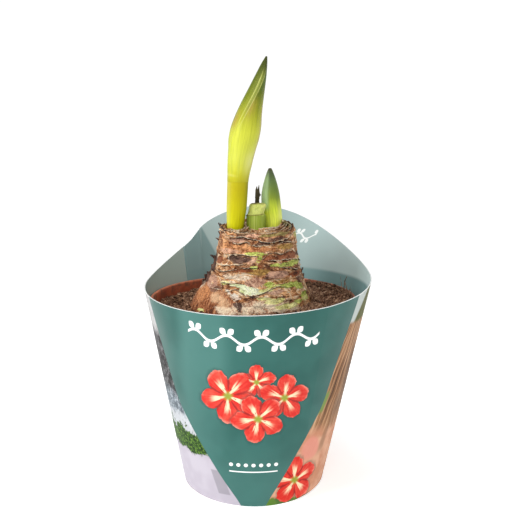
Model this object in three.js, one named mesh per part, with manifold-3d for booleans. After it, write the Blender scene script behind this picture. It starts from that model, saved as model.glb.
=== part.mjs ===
// A forced amaryllis (Hippeastrum) sold in its growing pot: a round plastic pot of compost, a large bulb in
// papery brown tunics with its neck standing clear, a flower stalk with a closed bud, a second bud, the stump
// of last year's stalk, and a printed card sleeve that stands round the pot and rises in a flap behind it.
// Units are millimetres, +Z is up, the front is -Y, and the origin is the middle of the pot's underside.
// An azimuth is counted in radians from the front (-Y) towards the right (+X).
import * as THREE from "three";
import { mergeVertices } from "three/addons/utils/BufferGeometryUtils.js";
import Module from "manifold-3d";

const wasm = await Module();
wasm.setup();

const TURN = 2 * Math.PI;
const DEGREE = Math.PI / 180;
const FIT_GAP = 0.3; // running clearance between pieces that touch

// Pot: a 15 cm growing pot.
const POT_HEIGHT = 139;
const POT_RIM_R = 74.4;
const POT_BASE_R = 50;
const POT_WALL = 1.6;
const COLLAR_HEIGHT = 12;
const COLLAR_WALL = 2.6;
const FOOT_HEIGHT = 2.5;
const FLOOR_TOP = 5;
const FOOT_RING_WIDTH = 5;
const CENTRE_FOOT_R = 10;
const DRAIN_HOLES = 8;
const DRAIN_HOLE_R = 4;
const DRAIN_CIRCLE_R = 30;
const POT_SIDES = 48;

// Sleeve: one sheet of card, a cone that opens upwards, folded flat for transport along two opposite creases.
const SLEEVE_FRONT_HEIGHT = 144.2;
const SLEEVE_BASE_R = 51.15;
const SLEEVE_TOP_R = 80.35;
const SLEEVE_WALL = 0.7;
const SLEEVE_LEAN = 2.8; // the mouth stands this far to the right of the foot
const SIDE_RISE = 6.3; // how much higher the top edge is at the sides than in front
const FLAP_RISE = 42.7; // how much higher still it is at the back
const FLAP_START = 66 * DEGREE;
const FLAP_EASE = 1.52; // above 1, the flap starts slowly and is narrow at its peak
const TOP_SKEW = 2.5; // the cut runs higher on the right
const BACK_SKEW = -1; // and the flap's peak leans to the left
const HEM_RISE = 4.25; // how far the lower edge is cut up at the sides
const HEM_SKEW = 0.147; // it is cut up a little more on the left
const CREASE_AZIMUTH = 35 * DEGREE; // and its opposite
const CREASE_BULGE = 0.012;
const CREASE_SPREAD = 15 * DEGREE;
const KINK_RISE = 3.2; // the top edge steps up past the back crease
const KINK_WIDTH = 10 * DEGREE;
const KINK_REACH = 100 * DEGREE;
const LAP_FROM = -147 * DEGREE; // the glued lap inside the back
const LAP_TO = -136 * DEGREE;
const LAP_WALL = 0.5;
const LAP_STEPS = 4;
const SLEEVE_SIDES = 96;

// Compost
const SOIL_MIDDLE = 133.5;
const SOIL_SLOPE = 0.045; // it lies higher on the right
const SOIL_CRUMB = 1.3;
const SOIL_RINGS = 8;
const SOIL_WAIST = 60; // a ring of points half way down the pot

// Bulb
const BULB_BASE = 60;
const BURIED_LEVELS = [63, 67, 74, 84, 96, 108, 119, 129]; // up to the last of these, the bulb is smooth
const FIRST_EDGE = 138.5;
const LAST_EDGE = 186;
const TUNICS = 11; // torn tunic edges between them, one above the other
const TUNIC_LIP = 1.5; // how far a torn edge stands out
const TUNIC_TUCK = 0.5; // how far a tunic is tucked in behind the edge below it
const EDGE_RAGGED = 2.1;
const EDGE_APART = 1.4; // least height from one edge to the next
const NECK_LIP = 190.5;
const NECK_WALL = 3.2;
const MOUTH_FLOOR = 184.5;
const BULB_SIDES = 56;
const FLAKES = 16;
const FLAKE_WALL = 0.8;
// Half widths of the bulb and the place of its axis, each against height.
const BULB_OUTLINE = [
  [60, 15], [66, 30], [76, 40.5], [90, 47], [106, 49.3], [120, 47.6], [131, 44.2], [141, 40.3],
  [151, 35.4], [160, 31.6], [170, 29], [180, 27.4], [188, 26.2], [195, 25],
];
const BULB_AXIS = [[60, -0.8], [131, -0.8], [150, 1.2], [165, 2.6], [180, 3.2], [195, 3]];

// Shoots. Each row is height, centre x, centre y, half width, half depth.
const SCAPE_ROWS = [
  [180, -12.6, -5.6, 6.9, 7.5], [194, -12.2, -6, 6.9, 7.5], [203, -11.5, -6, 7.2, 7.8],
  [214, -11, -6, 7.3, 7.9], [222, -10.6, -6, 7.4, 8],
];
const SPATHE_ROWS = [
  [222.3, -10.5, -6, 7.6, 8.3], [224.2, -10.3, -6, 7.9, 8.6], [227, -9.8, -6, 8, 8.9],
  [232, -9.1, -6, 8.6, 10], [238, -8.3, -6, 9.4, 11.2], [245, -7.1, -6, 10.2, 12.2], [252, -6, -6, 11, 12.8],
  [260, -4.6, -5.8, 10.8, 12.5], [268, -2.8, -5.4, 9.5, 11.2], [277, -0.3, -5, 7.7, 9],
  [286, 2.6, -4.5, 5.8, 6.8], [295.5, 5.6, -4, 3.8, 4.4], [303, 7.9, -3.6, 2.2, 2.5],
  [307.6, 9.2, -3.4, 0.9, 1],
];
const STUMP_ROWS = [
  [181, 2.1, -3, 6.2, 5], [189, 2.1, -3, 6.4, 5.2], [197.6, 2.1, -3, 6.5, 5.2], [198.3, 2.2, -3, 6, 4.7],
  [199.4, 2.3, -3, 6.7, 5.3], [203, 2.6, -3, 6.6, 5.2], [205.6, 2.6, -3, 6, 4.7],
  [206.4, 2.5, -2.9, 4.6, 3.6],
];
const SECOND_BUD_ROWS = [
  [181, 14.7, 5.5, 6, 6], [192, 14.3, 5.5, 6.4, 6.3], [198, 13.6, 5.5, 6.7, 6.4], [204, 12.8, 5.5, 6.8, 6.4],
  [211, 12.3, 5.5, 6.5, 6], [217, 12.2, 5.4, 5.4, 5], [224, 12.4, 5.3, 3.4, 3.3], [229, 12.5, 5.2, 1.7, 1.8],
  [231.3, 12.5, 5.2, 0.5, 0.5],
];
const WITHERED_ROWS = [
  [181, 2.8, 7, 2.6, 0.8], [193, 2.8, 6.8, 2.6, 0.8], [203, 2.9, 6.4, 2.2, 0.8], [208, 2.9, 6.2, 1.7, 0.8],
  [212, 3.2, 6, 1.8, 0.7], [215, 3.6, 6, 1.5, 0.6], [218.2, 3.8, 6, 1.2, 0.5],
];
const SHOOT_SIDES = 24;
const BRACT_STEP = 0.5; // the outer bract of the bud stands this far over the inner one
const BRACT_EDGE_LOW = -62 * DEGREE; // where its edge runs, at the foot of the bud and at the tip
const BRACT_EDGE_HIGH = 18 * DEGREE;
const BRACT_WRAP = 162 * DEGREE; // how far round the bud it reaches

// ---------------------------------------------------------------- helpers

const clamp01 = (t) => Math.min(1, Math.max(0, t));
const signedAngle = (a) => Math.atan2(Math.sin(a), Math.cos(a));
const smooth = (t) => clamp01(t) ** 2 * (3 - 2 * clamp01(t));

/** Smooth interpolation in rows of [height, value, ...], giving value number `column`. */
function along(rows, height, column = 1) {
  let i = 0;
  while (i < rows.length - 2 && height > rows[i + 1][0]) i += 1;
  const before = rows[Math.max(i - 1, 0)];
  const [low, high] = [rows[i], rows[i + 1]];
  const after = rows[Math.min(i + 2, rows.length - 1)];
  const span = high[0] - low[0];
  const t = clamp01((height - low[0]) / span);
  const slopeLow = ((high[column] - before[column]) / (high[0] - before[0])) * span;
  const slopeHigh = ((after[column] - low[column]) / (after[0] - low[0])) * span;
  return (
    low[column] * (2 * t ** 3 - 3 * t ** 2 + 1) + slopeLow * (t ** 3 - 2 * t ** 2 + t) +
    high[column] * (3 * t ** 2 - 2 * t ** 3) + slopeHigh * (t ** 3 - t ** 2)
  );
}

/** A repeatable value from 0 to 1 for a lattice point. */
function lattice(x, y, z) {
  const s = Math.sin(x * 127.1 + y * 311.7 + z * 74.7) * 43758.5453;
  return s - Math.floor(s);
}

/** Smooth noise from -1 to 1. */
function noise(x, y, z) {
  const [x0, y0, z0] = [Math.floor(x), Math.floor(y), Math.floor(z)];
  const [u, v, w] = [smooth(x - x0), smooth(y - y0), smooth(z - z0)];
  let sum = 0;
  for (const [dx, wx] of [[0, 1 - u], [1, u]])
    for (const [dy, wy] of [[0, 1 - v], [1, v]])
      for (const [dz, wz] of [[0, 1 - w], [1, w]]) sum += wx * wy * wz * lattice(x0 + dx, y0 + dy, z0 + dz);
  return 2 * sum - 1;
}

/** Noise round an azimuth, without a seam. `detail` is the number of swells in a turn, roughly. */
const roundNoise = (azimuth, detail, seed) =>
  noise((detail / TURN) * Math.cos(azimuth), (detail / TURN) * Math.sin(azimuth), seed * 7.31);

/** A repeatable sequence of values from 0 to 1. */
function randomSequence(seed) {
  let state = seed;
  return () => {
    state = (state * 1664525 + 1013904223) % 4294967296;
    return state / 4294967296;
  };
}

const azimuths = (sides) => Array.from({ length: sides }, (_, i) => (i / sides) * TURN);

/** The point at a radius round a centre, at an azimuth and a height. */
const polar = (azimuth, radius, z, centreX = 0, centreY = 0, depthRadius = radius) =>
  new THREE.Vector3(centreX + radius * Math.sin(azimuth), centreY - depthRadius * Math.cos(azimuth), z);

/**
 * A closed surface over rings of points, listed from the bottom up the outside. A ring of one point is a
 * pole. With `loop`, the last ring joins the first, as in a hoop.
 */
function surfaceOfRings(rings, loop = false) {
  const positions = [];
  const starts = rings.map((ring) => {
    const start = positions.length / 3;
    ring.forEach((p) => positions.push(p.x, p.y, p.z));
    return start;
  });
  const sides = Math.max(...rings.map((ring) => ring.length));
  const vertex = (i, j) => starts[i] + (rings[i].length === 1 ? 0 : j % sides);
  const index = [];
  const count = loop ? rings.length : rings.length - 1;
  for (let i = 0; i < count; i += 1) {
    const next = (i + 1) % rings.length;
    for (let j = 0; j < sides; j += 1) {
      const [a, b, c, d] = [vertex(i, j), vertex(i, j + 1), vertex(next, j + 1), vertex(next, j)];
      if (a !== b) index.push(a, b, c);
      if (c !== d) index.push(a, c, d);
    }
  }
  return new THREE.BufferGeometry()
    .setAttribute("position", new THREE.Float32BufferAttribute(positions, 3))
    .setIndex(index);
}

/** A closed surface over rings whose first and last are closed by flat fans round their middles. */
function surfaceWithFlatEnds(rings) {
  const sum = (ring) => ring.reduce((total, p) => total.add(p), new THREE.Vector3());
  const middle = (ring) => [sum(ring).divideScalar(ring.length)];
  return surfaceOfRings([middle(rings[0]), ...rings, middle(rings[rings.length - 1])]);
}

/** A three.js geometry as a solid that can be cut and joined. */
function solidOf(geometry) {
  const bare = geometry.clone();
  bare.deleteAttribute("normal");
  bare.deleteAttribute("uv");
  const merged = mergeVertices(bare, 1e-4);
  const kept = [];
  const index = merged.index.array;
  for (let i = 0; i < index.length; i += 3) {
    const [a, b, c] = index.slice(i, i + 3);
    if (a !== b && b !== c && c !== a) kept.push(a, b, c);
  }
  const vertProperties = merged.attributes.position.array;
  return new wasm.Manifold(new wasm.Mesh({ numProp: 3, vertProperties, triVerts: new Uint32Array(kept) }));
}

/** The geometry of a solid. */
function geometryOf(solid) {
  const mesh = solid.getMesh();
  const geometry = new THREE.BufferGeometry()
    .setAttribute("position", new THREE.BufferAttribute(mesh.vertProperties, mesh.numProp))
    .setIndex(new THREE.BufferAttribute(mesh.triVerts, 1));
  geometry.computeVertexNormals();
  return geometry;
}

function namedMesh(name, geometry, colour, roughness) {
  const material = new THREE.MeshStandardMaterial({ color: colour, roughness, metalness: 0 });
  const mesh = new THREE.Mesh(geometry, material);
  mesh.name = name;
  return mesh;
}

// ---------------------------------------------------------------- pot

const COLLAR_BOTTOM = POT_HEIGHT - COLLAR_HEIGHT;
const COLLAR_STEP = 3; // height over which the inside widens into the collar
const BODY_TOP_R = POT_RIM_R - COLLAR_WALL - 1;

/** Outer radius of the pot's tapered body. */
const potBodyRadius = (z) => POT_BASE_R + ((BODY_TOP_R - POT_BASE_R) * z) / COLLAR_BOTTOM;

/** Inner radius of the pot: the tapered body, a short step, then the collar. */
function potInnerRadius(z) {
  const body = potBodyRadius(Math.min(z, COLLAR_BOTTOM)) - POT_WALL;
  return body + (POT_RIM_R - COLLAR_WALL - body) * clamp01((z - COLLAR_BOTTOM) / COLLAR_STEP);
}

function makePot() {
  const outline = [
    [0, 0], [CENTRE_FOOT_R, 0], [CENTRE_FOOT_R + 1, FOOT_HEIGHT],
    [POT_BASE_R - FOOT_RING_WIDTH - 1.5, FOOT_HEIGHT], [POT_BASE_R - FOOT_RING_WIDTH, 0],
    [POT_BASE_R - 1.2, 0], [potBodyRadius(1.5), 1.5], [potBodyRadius(COLLAR_BOTTOM), COLLAR_BOTTOM],
    [POT_RIM_R - 1.2, COLLAR_BOTTOM], [POT_RIM_R, POT_HEIGHT - 1.6], [POT_RIM_R - 0.6, POT_HEIGHT - 0.3],
    [POT_RIM_R - COLLAR_WALL / 2, POT_HEIGHT], [POT_RIM_R - COLLAR_WALL + 0.4, POT_HEIGHT - 0.5],
    [potInnerRadius(COLLAR_BOTTOM + COLLAR_STEP), COLLAR_BOTTOM + COLLAR_STEP],
    [potInnerRadius(COLLAR_BOTTOM), COLLAR_BOTTOM], [potInnerRadius(FLOOR_TOP), FLOOR_TOP], [0, FLOOR_TOP],
  ].map(([r, z]) => new THREE.Vector2(r, z));
  let pot = solidOf(new THREE.LatheGeometry(outline, POT_SIDES).rotateX(Math.PI / 2));
  for (let i = 0; i < DRAIN_HOLES; i += 1) {
    const azimuth = ((i + 0.5) / DRAIN_HOLES) * TURN;
    const drill = new THREE.CylinderGeometry(DRAIN_HOLE_R, DRAIN_HOLE_R, 3 * FLOOR_TOP, 12)
      .rotateX(Math.PI / 2)
      .translate(DRAIN_CIRCLE_R * Math.sin(azimuth), -DRAIN_CIRCLE_R * Math.cos(azimuth), 0);
    pot = pot.subtract(solidOf(drill));
  }
  return namedMesh("pot", geometryOf(pot), 0x9c5138, 0.55);
}

// ---------------------------------------------------------------- sleeve

/** Outer radius of the sleeve: a cone, drawn out a little along its two creases. */
function sleeveRadius(azimuth, z) {
  const cone = SLEEVE_BASE_R + ((SLEEVE_TOP_R - SLEEVE_BASE_R) * z) / SLEEVE_FRONT_HEIGHT;
  const turn = (((azimuth - CREASE_AZIMUTH) % Math.PI) + Math.PI) % Math.PI;
  const fromCrease = Math.min(turn, Math.PI - turn);
  return cone * (1 + CREASE_BULGE * Math.exp(-fromCrease / CREASE_SPREAD));
}

/** The top edge turns at the back crease: it runs lower in front of the crease and higher behind it. */
function creaseKink(azimuth) {
  const crease = CREASE_AZIMUTH - Math.PI;
  const past = crease - azimuth;
  const fade = past > 0 ? 1 - (past / (Math.PI + crease)) ** 2 : clamp01(1 + past / KINK_REACH) ** 2;
  return KINK_RISE * Math.tanh(past / KINK_WIDTH) * fade;
}

/** Height of the sleeve's top edge: nearly level in front, an S-curve up to a rounded flap behind. */
function sleeveTop(azimuth) {
  const signed = signedAngle(azimuth);
  const a = Math.abs(signed);
  const side = SIDE_RISE * (1 - Math.cos(Math.min(a, Math.PI / 2)));
  const share = clamp01((a - FLAP_START) / (Math.PI - FLAP_START)) ** FLAP_EASE;
  const flap = (FLAP_RISE * (1 - Math.cos(Math.PI * share))) / 2;
  const skew = TOP_SKEW * Math.sin(signed) + (a > Math.PI / 2 ? BACK_SKEW * Math.sin(2 * signed) : 0);
  return SLEEVE_FRONT_HEIGHT + side + flap + skew + creaseKink(signed);
}

/** Height of the sleeve's lower edge, which touches the table in front and behind. */
const sleeveHem = (azimuth) => HEM_RISE * (Math.sin(azimuth) - HEM_SKEW) ** 2;

/** A point of the sleeve, `inset` inside its outer face. */
const sleevePoint = (azimuth, z, inset) =>
  polar(azimuth, sleeveRadius(azimuth, z) - inset, z, (SLEEVE_LEAN * z) / SLEEVE_FRONT_HEIGHT);

function makeSleeve() {
  const creases = [CREASE_AZIMUTH, CREASE_AZIMUTH + Math.PI];
  const round = [...azimuths(SLEEVE_SIDES), ...creases].sort((a, b) => a - b);
  const edges = [[sleeveHem, 0], [sleeveTop, 0], [sleeveTop, SLEEVE_WALL], [sleeveHem, SLEEVE_WALL]];
  const hoops = edges.map(([height, inset]) => round.map((a) => sleevePoint(a, height(a), inset)));

  // The lap is a strip sunk into the wall's inner face, 1 mm short of both edges.
  const strip = [];
  for (let i = 0; i <= LAP_STEPS; i += 1) {
    const a = LAP_FROM + ((LAP_TO - LAP_FROM) * i) / LAP_STEPS;
    const [low, high] = [sleeveHem(a) + 1, sleeveTop(a) - 1];
    const [outer, inner] = [SLEEVE_WALL / 2, SLEEVE_WALL + LAP_WALL];
    const corners = [[low, outer], [high, outer], [high, inner], [low, inner]];
    strip.push(corners.map(([z, inset]) => sleevePoint(a, z, inset)));
  }
  const sleeve = solidOf(surfaceOfRings(hoops, true)).add(solidOf(surfaceWithFlatEnds(strip)));
  return namedMesh("sleeve", geometryOf(sleeve), 0x4f807a, 0.25);
}

// ---------------------------------------------------------------- bulb

const bulbRadius = (z) => along(BULB_OUTLINE, z);
const bulbAxis = (z) => along(BULB_AXIS, z);
const bulbPoint = (azimuth, z, outset = 0) => polar(azimuth, bulbRadius(z) + outset, z, bulbAxis(z));

/** Height of torn tunic edge number k, from the lowest, 0, up. */
function tunicEdge(k, azimuth) {
  const level = FIRST_EDGE + ((LAST_EDGE - FIRST_EDGE) * k) / (TUNICS - 1);
  const ragged = 0.7 * roundNoise(azimuth, 9, k) + 0.6 * roundNoise(azimuth, 32, k + 40);
  const torn = level + EDGE_RAGGED * ragged;
  return k === 0 ? torn : Math.max(torn, tunicEdge(k - 1, azimuth) + EDGE_APART);
}

/** How far torn tunic edge number k stands out. */
const tunicLip = (k, azimuth) => TUNIC_LIP * (0.75 + 0.5 * roundNoise(azimuth, 14, k + 20));

/** Height of the neck's ragged rim. */
function neckRim(azimuth) {
  const tilt = 0.6 * Math.sin(azimuth) - 1.2 * Math.cos(azimuth);
  const rim = NECK_LIP + tilt + 1.3 * roundNoise(azimuth, 40, 90);
  return Math.max(rim, tunicEdge(TUNICS - 1, azimuth) + EDGE_APART);
}

/** A thin torn flake of tunic that stands out from the bulb at an azimuth and a height. */
function makeFlake(azimuth, z, width, height, flare) {
  const root = -1.2; // the foot of the flake is sunk this deep
  const rows = [[-0.25, 1, root], [0.35, 0.85, 0.5 * flare + 0.4], [0.75, 0.5, 0.85 * flare + 0.4]];
  const tip = [1, 0.16, flare + 0.4]; // share of the height, share of the width, outset
  const rings = [...rows, tip].map(([up, wide, out]) => {
    const half = (wide * width) / 2 / bulbRadius(z);
    const corner = (side, inset) =>
      polar(azimuth + side * half, bulbRadius(z) + out - inset, z + height * up, bulbAxis(z));
    const outside = [corner(-1, 0), corner(0, -0.25), corner(1, 0)];
    return [...outside, corner(1, FLAKE_WALL), corner(0, FLAKE_WALL), corner(-1, FLAKE_WALL)];
  });
  return solidOf(surfaceWithFlatEnds(rings));
}

/** A plain socket for a shoot, a little wider than its lowest rows. */
function makeSocket(rows) {
  const [foot, collar] = rows;
  const widen = ([, x, y, halfWidth, halfDepth], z) => [z, x, y, halfWidth + FIT_GAP, halfDepth + FIT_GAP];
  return solidOf(shootSurface([widen(foot, foot[0] - FIT_GAP), widen(collar, NECK_LIP + 8)]));
}

function makeBulb() {
  const round = azimuths(BULB_SIDES);
  const ring = (height, outset) => round.map((a) => bulbPoint(a, height(a), outset(a)));
  const level = (z, outset = 0) => ring(() => z, () => outset);
  const axisPoint = (z) => [new THREE.Vector3(bulbAxis(z), 0, z)];
  const rings = [axisPoint(BULB_BASE), level(BULB_BASE), ...BURIED_LEVELS.map((z) => level(z))];
  // Each tunic starts tucked in behind the torn edge below it and swells to its own edge.
  const justAbove = 0.15;
  for (let k = 0; k < TUNICS; k += 1) {
    const start = (a) => (k === 0 ? FIRST_EDGE - 7 : tunicEdge(k - 1, a)) + justAbove;
    rings.push(ring(start, () => -TUNIC_TUCK));
    rings.push(ring((a) => tunicEdge(k, a), (a) => tunicLip(k, a)));
  }
  rings.push(ring((a) => tunicEdge(TUNICS - 1, a) + justAbove, () => -TUNIC_TUCK));
  // The rim, then down into the mouth, where the shoots stand.
  rings.push(ring(neckRim, () => -0.2));
  rings.push(ring((a) => neckRim(a) - 0.3, () => -NECK_WALL / 2));
  rings.push(level(MOUTH_FLOOR + 1, -NECK_WALL));
  rings.push(axisPoint(MOUTH_FLOOR));

  let bulb = solidOf(surfaceOfRings(rings));
  const random = randomSequence(11);
  for (let i = 0; i < FLAKES; i += 1) {
    const azimuth = ((i + 0.8 * random()) / FLAKES) * TURN;
    const z = tunicEdge(2 + ((i * 5) % (TUNICS - 2)), azimuth) - 2.2;
    bulb = bulb.add(makeFlake(azimuth, z, 5 + 5 * random(), 3.5 + 2.5 * random(), 1.6 + 1.8 * random()));
  }
  const sockets = [SCAPE_ROWS, STUMP_ROWS, SECOND_BUD_ROWS, WITHERED_ROWS].map(makeSocket);
  bulb = sockets.reduce((solid, socket) => solid.subtract(socket), bulb);
  return namedMesh("bulb", geometryOf(bulb), 0xa0714f, 0.85);
}

// ---------------------------------------------------------------- compost

/** Height of the compost's crumbly top. */
function soilTop(x, y) {
  const crumbs = noise(x / 6, y / 6, 3.3) + 0.5 * noise(x / 2.5, y / 2.5, 8.1);
  return SOIL_MIDDLE + SOIL_SLOPE * x + SOIL_CRUMB * crumbs;
}

function makeSoil() {
  const round = azimuths(POT_SIDES);
  const bottom = FLOOR_TOP + FIT_GAP;
  const socketFloor = BULB_BASE - FIT_GAP;
  const wallAt = (a, z) => polar(a, potInnerRadius(z) - FIT_GAP, z);
  const socketAt = (a, z, room = FIT_GAP) => polar(a, bulbRadius(z) + room, z, bulbAxis(z));
  const mouthRoom = FIT_GAP + 1.3 * TUNIC_LIP; // clears the lowest torn edge
  /** A point of the top, from the bulb, 0, to the pot, 1. */
  const topAt = (a, share) => {
    const p = socketAt(a, SOIL_MIDDLE, mouthRoom).lerp(wallAt(a, SOIL_MIDDLE), share);
    const level = soilTop(p.x, p.y);
    if (share === 0) return socketAt(a, level - 0.8, mouthRoom);
    return share === 1 ? wallAt(a, level) : p.setZ(level);
  };
  const rings = [[new THREE.Vector3(0, 0, bottom)]];
  for (const z of [bottom, SOIL_WAIST, COLLAR_BOTTOM - FIT_GAP]) rings.push(round.map((a) => wallAt(a, z)));
  for (let i = SOIL_RINGS; i >= 0; i -= 1) rings.push(round.map((a) => topAt(a, i / SOIL_RINGS)));
  for (const z of [...BURIED_LEVELS].reverse()) rings.push(round.map((a) => socketAt(a, z)));
  rings.push(round.map((a) => socketAt(a, socketFloor)));
  rings.push([new THREE.Vector3(bulbAxis(BULB_BASE), 0, socketFloor)]);
  return namedMesh("soil", surfaceOfRings(rings), 0x4a3325, 0.95);
}

// ---------------------------------------------------------------- shoots

/** A closed shoot of oval rings, flat at its foot, whose tip rises to a blunt point of the given height. */
function shootSurface(rows, point = 0, bulge = () => 0) {
  const rings = rows.map(([z, x, y, halfWidth, halfDepth]) =>
    azimuths(SHOOT_SIDES).map((a) => polar(a, halfWidth + bulge(a, z), z, x, y, halfDepth + bulge(a, z))),
  );
  const pole = ([z, x, y], lift) => [new THREE.Vector3(x, y, z + lift)];
  return surfaceOfRings([pole(rows[0], 0), ...rings, pole(rows[rows.length - 1], point)]);
}

/** The edge of the bud's outer bract winds from the left of its foot to the front of its tip. */
function bractBulge(azimuth, z) {
  const foot = SPATHE_ROWS[1][0];
  const tip = SPATHE_ROWS[SPATHE_ROWS.length - 1][0];
  const climb = clamp01((z - foot) / (tip - foot));
  const edge = BRACT_EDGE_LOW + (BRACT_EDGE_HIGH - BRACT_EDGE_LOW) * climb;
  const past = signedAngle(azimuth - edge);
  const ends = smooth(climb / 0.15) * smooth((1 - climb) / 0.2);
  return past > 0 && past < BRACT_WRAP ? BRACT_STEP * ends : 0;
}

// ---------------------------------------------------------------- assembly

const amaryllis = new THREE.Group();
amaryllis.name = "potted_amaryllis";

const holder = new THREE.Group();
holder.add(makePot(), makeSleeve());

const plant = new THREE.Group();
plant.add(
  makeBulb(),
  namedMesh("scape", shootSurface(SCAPE_ROWS), 0xc8c21a, 0.35),
  namedMesh("spathe", shootSurface(SPATHE_ROWS, 0.4, bractBulge), 0xc4cc4e, 0.4),
  namedMesh("second_bud", shootSurface(SECOND_BUD_ROWS, 0.3), 0x9fb548, 0.45),
  namedMesh("old_stalk_stump", shootSurface(STUMP_ROWS), 0xa8b85a, 0.6),
  namedMesh("withered_leaf", shootSurface(WITHERED_ROWS), 0x4a4632, 0.9),
);

amaryllis.add(holder, makeSoil(), plant);
export default amaryllis;
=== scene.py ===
"""Dresses a potted amaryllis: pot, printed card sleeve, compost, papery bulb and shoots, in a small studio.

Lengths are millimetres until a mesh is handed to Blender, which works in metres. An azimuth is in radians
from the front (-Y) towards the right (+X). Colours are display values from 0 to 255 until a node takes them.
"""

import logging
import math
from dataclasses import dataclass, field
from enum import Enum
from typing import Union

import bmesh
import bpy
import numpy as np
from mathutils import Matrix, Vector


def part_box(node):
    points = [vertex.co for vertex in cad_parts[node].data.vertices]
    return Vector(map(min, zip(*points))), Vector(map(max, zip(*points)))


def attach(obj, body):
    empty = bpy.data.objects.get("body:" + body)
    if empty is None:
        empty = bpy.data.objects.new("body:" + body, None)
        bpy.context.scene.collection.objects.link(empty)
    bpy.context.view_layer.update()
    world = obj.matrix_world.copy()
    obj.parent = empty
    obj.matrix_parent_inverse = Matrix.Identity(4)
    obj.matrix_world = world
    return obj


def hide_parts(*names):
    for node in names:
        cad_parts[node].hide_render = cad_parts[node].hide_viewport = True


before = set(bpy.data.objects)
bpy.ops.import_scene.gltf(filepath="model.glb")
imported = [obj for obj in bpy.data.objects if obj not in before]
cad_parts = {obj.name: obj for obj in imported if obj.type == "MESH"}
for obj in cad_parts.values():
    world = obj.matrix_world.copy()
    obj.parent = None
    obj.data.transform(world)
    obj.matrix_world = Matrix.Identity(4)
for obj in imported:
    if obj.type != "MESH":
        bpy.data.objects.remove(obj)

Array = np.ndarray
Marks = dict[str, Array]
Colour = tuple[int, int, int]
Material = bpy.types.Material
Object = bpy.types.Object
Socket = bpy.types.NodeSocket

LOG = logging.getLogger("amaryllis")
MM = 0.001
DEGREE = math.pi / 180
TURN = 2 * math.pi
BODY = "root"
WELD_DISTANCE = 0.002 * MM
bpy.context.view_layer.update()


def rise(value: Array, low: float, high: float) -> Array:
    """A smooth step from 0 at `low` to 1 at `high`, which may be the lower one: 3t^2 - 2t^3 between."""
    t = np.clip((value - low) / (high - low), 0.0, 1.0)
    return t * t * (3 - 2 * t)


def bell(value: Array) -> Array:
    """A bump of height 1 at 0: exp(-value^2)."""
    return np.exp(-(value**2))


def between(value: Array, start: float, full: float, fading: float, end: float) -> Array:
    """1 from `full` to `fading`, with a smooth step down to 0 at `start` and at `end`."""
    return rise(value, start, full) * rise(value, end, fading)


def signed(azimuth: Array) -> Array:
    """The same azimuth between -pi and pi."""
    return np.arctan2(np.sin(azimuth), np.cos(azimuth))


def around(sides: int) -> Array:
    """A row of evenly spaced azimuths."""
    return np.arange(sides)[None, :] * TURN / sides


def noise(x: Array, y: Array, z: Array) -> Array:
    """Smooth noise: hashed values on a lattice, blended by smooth steps along each axis.

    Args:
        x, y, z: the place, with a swell of the noise to each unit.

    Returns:
        Numbers from -1 to 1.
    """
    x, y, z = np.broadcast_arrays(*(np.asarray(v, float) for v in (x, y, z)))
    x0, y0, z0 = np.floor(x), np.floor(y), np.floor(z)
    u, v, w = rise(x - x0, 0, 1), rise(y - y0, 0, 1), rise(z - z0, 0, 1)
    total = np.zeros(x.shape)
    for dx in (0, 1):
        for dy in (0, 1):
            for dz in (0, 1):
                s = np.sin((x0 + dx) * 127.1 + (y0 + dy) * 311.7 + (z0 + dz) * 74.7) * 43758.5453
                weight = (u if dx else 1 - u) * (v if dy else 1 - v) * (w if dz else 1 - w)
                total += weight * (s - np.floor(s))
    return 2 * total - 1


def round_noise(azimuth: Array, detail: float, seed: Union[float, Array]) -> Array:
    """Noise round a turn without a seam, with roughly `detail` swells in it."""
    reach = detail / TURN
    return noise(reach * np.cos(azimuth), reach * np.sin(azimuth), np.asarray(seed) * 7.31)


def skin_noise(azimuth: Array, z: Array, *sizes: tuple[float, float, float, float]) -> Array:
    """Seamless noise over a round surface, of one or more sizes.

    Args:
        azimuth, z: the place.
        sizes: share, swells in a turn, height of a swell and seed of each.

    Returns:
        The sum of the noises, each times its share.
    """
    total = 0.0
    for share, detail, height, seed in sizes:
        reach = detail / TURN
        x, y = reach * np.cos(azimuth) + seed, reach * np.sin(azimuth) - seed
        total = total + share * noise(x, y, z / height + 3.1 * seed)
    return total


def cells(x: Array, y: Array, size: float, seed: float) -> tuple[Array, Array]:
    """Cell noise on a plane, with one jittered point in each square cell.

    Args:
        x, y: the place.
        size: of a cell.
        seed: which jitter it takes.

    Returns:
        The distance to the nearest point, in cells, and that cell's own value from 0 to 1.
    """
    x, y = x / size, y / size
    best, tone = np.full(x.shape, 9.0), np.zeros(x.shape)
    for dx in (-1, 0, 1):
        for dy in (-1, 0, 1):
            cx, cy = np.floor(x) + dx, np.floor(y) + dy
            hashes = (cx * a + cy * b + seed * 17.3 for a, b in ((127.1, 311.7), (269.5, 183.3)))
            jitter_x, jitter_y = (np.abs(np.sin(value) * 43758.5) % 1 for value in hashes)
            away = np.hypot(cx + jitter_x - x, cy + jitter_y - y)
            nearer = away < best
            best, tone = np.where(nearer, away, best), np.where(nearer, jitter_x, tone)
    return best, tone


def polar(
    azimuth: Array, radius: Array, z: Array, x: Array = 0.0, y: Array = 0.0, depth: Array = None
) -> Array:
    """Points at (x + radius sin(azimuth), y - depth cos(azimuth), z); depth is the radius unless given."""
    out, ahead = radius * np.sin(azimuth), (radius if depth is None else depth) * np.cos(azimuth)
    return np.stack(np.broadcast_arrays(x + out, y - ahead, z), axis=-1)


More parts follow.
